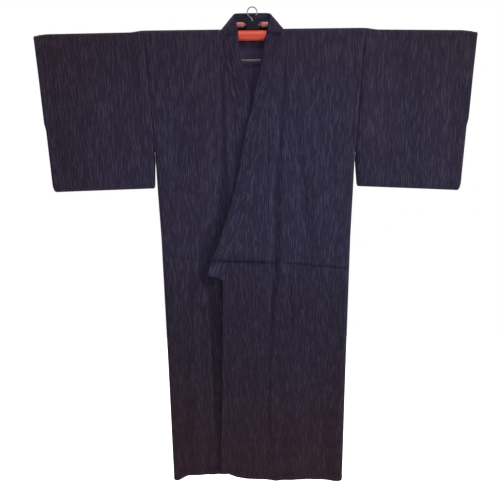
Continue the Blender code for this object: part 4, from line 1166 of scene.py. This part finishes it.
def onCloth(name, places, side):
    # the points of a line of (x, drop) on a piece's outer face, in front (-1) or behind (1)
    cloth = bpy.data.objects[name].data
    surface = BVHTree.FromPolygons([v.co for v in cloth.vertices], [p.vertices for p in cloth.polygons])
    found = []
    for x, drop in places:
        start = Vector((x * cm, side * 0.2, -drop * cm)) + Vector(robe["place"])
        hit = surface.ray_cast(start, Vector((0, -side, 0)))[0]
        if hit is not None:
            found.append(hit + Vector((0, side * (robe["wall"] / 2 + 0.1 * mm), 0)))
    return found


def hemLine(hem, first, last):
    places = np.arange(first, last, 0.5)
    return [(x, np.interp(x, *hem) - 100 * bodyLook["hemTurn"]) for x in places]


def downLine(x, top, bottom, leanTo=0.0):
    return [(x + leanTo * (drop - top) / (bottom - top), drop) for drop in np.arange(top, bottom, 0.5)]


seamLines = [
    ("body_left", hemLine(upperHem, 4.2, 29.6), -1),
    ("okumi_left", hemLine(upperHem, -11.0, 3.0), -1),
    ("body_right", hemLine(lowerHem, -29.6, -5.6), -1),
    ("okumi_right", hemLine(lowerHem, -4.8, 11.0), -1),
    ("body_left", hemLine(backHem, 0.5, 29.6), 1),
    ("body_right", hemLine(backHem, -29.6, -0.5), 1),
    ("okumi_left", downLine(-9.5, 78, 145, -2.1), -1),
    ("okumi_right", downLine(8.5, 78, 144, 1.5), -1),
]
for name, sign, end in (("sleeve_left", 1, 66.2), ("sleeve_right", -1, 65.4)):
    seamLines += [(name, downLine(sign * (end - 1.5), 2, 25, -0.7 * sign), side) for side in (-1, 1)]

corners, edges = [], []
for name, places, side in seamLines:
    line = onCloth("cloth_" + name, places, side)
    edges += [(len(corners) + i, len(corners) + i + 1) for i in range(len(line) - 1)]
    corners += line
linesMesh = bpy.data.meshes.new("stitches")
linesMesh.from_pydata(corners, edges, [])
stitches = linked("stitches", linesMesh)
sew = stitches.modifiers.new("stitches", "NODES")
sew.node_group = stitchTree(cottonThread())
for item in sew.node_group.interface.items_tree:
    if item.in_out == "INPUT" and item.name in stitchLook:
        # the stitch is a ball of radius 1, so it takes half of its length
        value = stitchLook[item.name]
        sew[item.identifier] = value / 2 if item.name == "Length" else value
bpy.context.view_layer.update()
evaluated = stitches.evaluated_get(bpy.context.evaluated_depsgraph_get())
stitches.data = bpy.data.meshes.new_from_object(evaluated)
stitches.modifiers.clear()
stitches.data.shade_smooth()
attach(stitches, "root")
print("stitch faces", len(stitches.data.polygons))


# ---- hanger

print("hanger")


def mottled(tree, cloud, colour, darkest, roughness):
    # the colour and the gloss both vary a little with the clouds of a noise
    return {
        "Base Color": tinted(tree, toLinear(colour), ranged(tree, cloud, (0.3, 0.7), (darkest, 1.08))),
        "Roughness": ranged(tree, cloud, wanted=roughness),
    }


def mouldedPlastic(name, colour, roughness, flow, gloss):
    # injection-moulded plastic: a clear gloss that is broken by faint flow lines along the part
    material, tree, shader = newMaterial(name)
    place = addNode(tree, "ShaderNodeTexCoord").outputs["Object"]
    drawn = addNode(tree, "ShaderNodeVectorMath", {0: place, 1: flow}, operation="MULTIPLY").outputs[0]
    grain = noise(tree, place, 900.0, 2.0)
    bump = addNode(tree, "ShaderNodeBump", {"Strength": 0.10, "Distance": 0.0001, "Height": grain}).outputs[0]
    look = mottled(tree, noise(tree, drawn, 1.0, 4.0), colour, 0.9, (roughness - 0.05, roughness + 0.08))
    feed(tree, shader, dict(look, **{"Normal": bump, "IOR": 1.53, "Specular IOR Level": gloss}))
    return material


def paintedSteel(name, colour, metallic, roughness):
    # thin steel with a baked satin coat, dulled by handling
    material, tree, shader = newMaterial(name)
    place = addNode(tree, "ShaderNodeTexCoord").outputs["Object"]
    look = mottled(tree, noise(tree, place, 60.0, 5.0), colour, 0.86, (roughness - 0.08, roughness + 0.12))
    feed(tree, shader, dict(look, Metallic=metallic))
    return material


# nodes, and how they are made: name, colour, then roughness, flow lines and gloss, or metal and roughness
hangerLook = {
    ("hanger_tube",): (mouldedPlastic, "orange-red ABS", "#bf3f22", 0.42, (6, 90, 90), 0.42),
    ("collar_rest_left", "collar_rest_right"): (
        mouldedPlastic, "salmon polypropylene", "#96564d", 0.38, (20, 120, 120), 0.4,
    ),
    ("hanger_saddle",): (mouldedPlastic, "near-black ABS", "#140c1a", 0.70, (60, 60, 60), 0.15),
    # painted shade: the bar's grey is darkened to stand in for the shade it hangs in inside the neck
    ("lower_bar",): (paintedSteel, "grey baked paint on steel", "#433e45", 0.0, 0.38),
    ("hanger_rod_left", "hanger_rod_right"): (paintedSteel, "telescoping steel rod", "#433e45", 1.0, 0.34),
    ("hanger_hook",): (paintedSteel, "drawn steel wire", "#8f8d92", 1.0, 0.30),
}
for nodes, (finish, *look) in hangerLook.items():
    material = finish(*look)
    for node in nodes:
        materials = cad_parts[node].data.materials
        materials.clear()
        materials.append(material)


# ---- studio

print("studio")

studio = {
    "floorDrop": -3.0,
    "floorHalf": 5.0,
    "paper": "#dedede",
    "paperGlow": 0.74,
    "worldColour": (0.95, 0.97, 1.0, 1.0),
    "worldFill": 0.11,
    "aim": (0.0, 0.0, -0.6),
    # name, place, power and size of each soft lamp
    "lamps": (
        ("key", (4.49, -2.00, 2.84), 290, 1.8),
        ("fill", (0.3, -4.1, 3.6), 105, 1.6),
        ("front", (3.0, -4.8, 0.4), 45, 1.6),
        ("back", (-4.7, 2.4, 3.1), 520, 1.8),
    ),
    "overhead": 1.0,
    "overheadSpread": 60,
}

half, level = studio["floorHalf"], studio["floorDrop"]
floorMesh = bpy.data.meshes.new("floor")
floorCorners = [(-half, -half, level), (half, -half, level), (half, half, level), (-half, half, level)]
floorMesh.from_pydata(floorCorners, [], [(0, 1, 2, 3)])
paper, paperTree, paperShader = newMaterial("white paper sweep")
feed(paperTree, paperShader, {
    "Base Color": toLinear(studio["paper"]),
    "Roughness": 0.9,
    "Emission Color": (1, 1, 1, 1),
    "Emission Strength": studio["paperGlow"],
})
floorMesh.materials.append(paper)
floor = linked("floor", floorMesh)

world = bpy.data.worlds.new("studio")
bpy.context.scene.world = world
world.use_nodes = True
worldTree = world.node_tree
worldTree.nodes.clear()
seen = addNode(worldTree, "ShaderNodeBackground", {"Color": (1, 1, 1, 1), "Strength": 1.0})
dim = {"Color": studio["worldColour"], "Strength": studio["worldFill"]}
soft = addNode(worldTree, "ShaderNodeBackground", dim)
ray = addNode(worldTree, "ShaderNodeLightPath").outputs["Is Camera Ray"]
blend = addNode(worldTree, "ShaderNodeMixShader", {0: ray, 1: soft.outputs[0], 2: seen.outputs[0]})
addNode(worldTree, "ShaderNodeOutputWorld", {"Surface": blend.outputs[0]})

for name, place, power, size in studio["lamps"]:
    lamp = bpy.data.lights.new(name, "AREA")
    lamp.energy = power
    lamp.size = size
    made = linked(name, lamp)
    made.location = place
    made.rotation_euler = (Vector(studio["aim"]) - made.location).to_track_quat("-Z", "Y").to_euler()
    made.visible_camera = False
overhead = bpy.data.lights.new("overhead", "SUN")
overhead.energy = studio["overhead"]
overhead.angle = radians(studio["overheadSpread"])
linked("overhead", overhead)

view = {
    "place": (-0.0101, -1.4382, -0.4589),
    "pitch": 10.62,
    "yaw": -0.176,
    "roll": -0.67,
    "lens": 32.4,
    "sensor": 36.0,
}
pitch, yaw, roll = (radians(view[key]) for key in ("pitch", "yaw", "roll"))
forward = Vector((np.sin(yaw) * np.cos(pitch), np.cos(yaw) * np.cos(pitch), -np.sin(pitch)))
right = Vector((np.cos(yaw), -np.sin(yaw), 0.0))
upright = right.cross(forward)
sideways = np.cos(roll) * right + np.sin(roll) * upright
upward = -np.sin(roll) * right + np.cos(roll) * upright
camera = linked("camera", bpy.data.cameras.new("camera"))
camera.data.lens = view["lens"]
camera.data.sensor_width = view["sensor"]
turnTo = Matrix((sideways, upward, -forward)).transposed().to_4x4()
camera.matrix_world = Matrix.Translation(view["place"]) @ turnTo
bpy.context.scene.camera = camera
bpy.context.scene.view_settings.view_transform = "Standard"
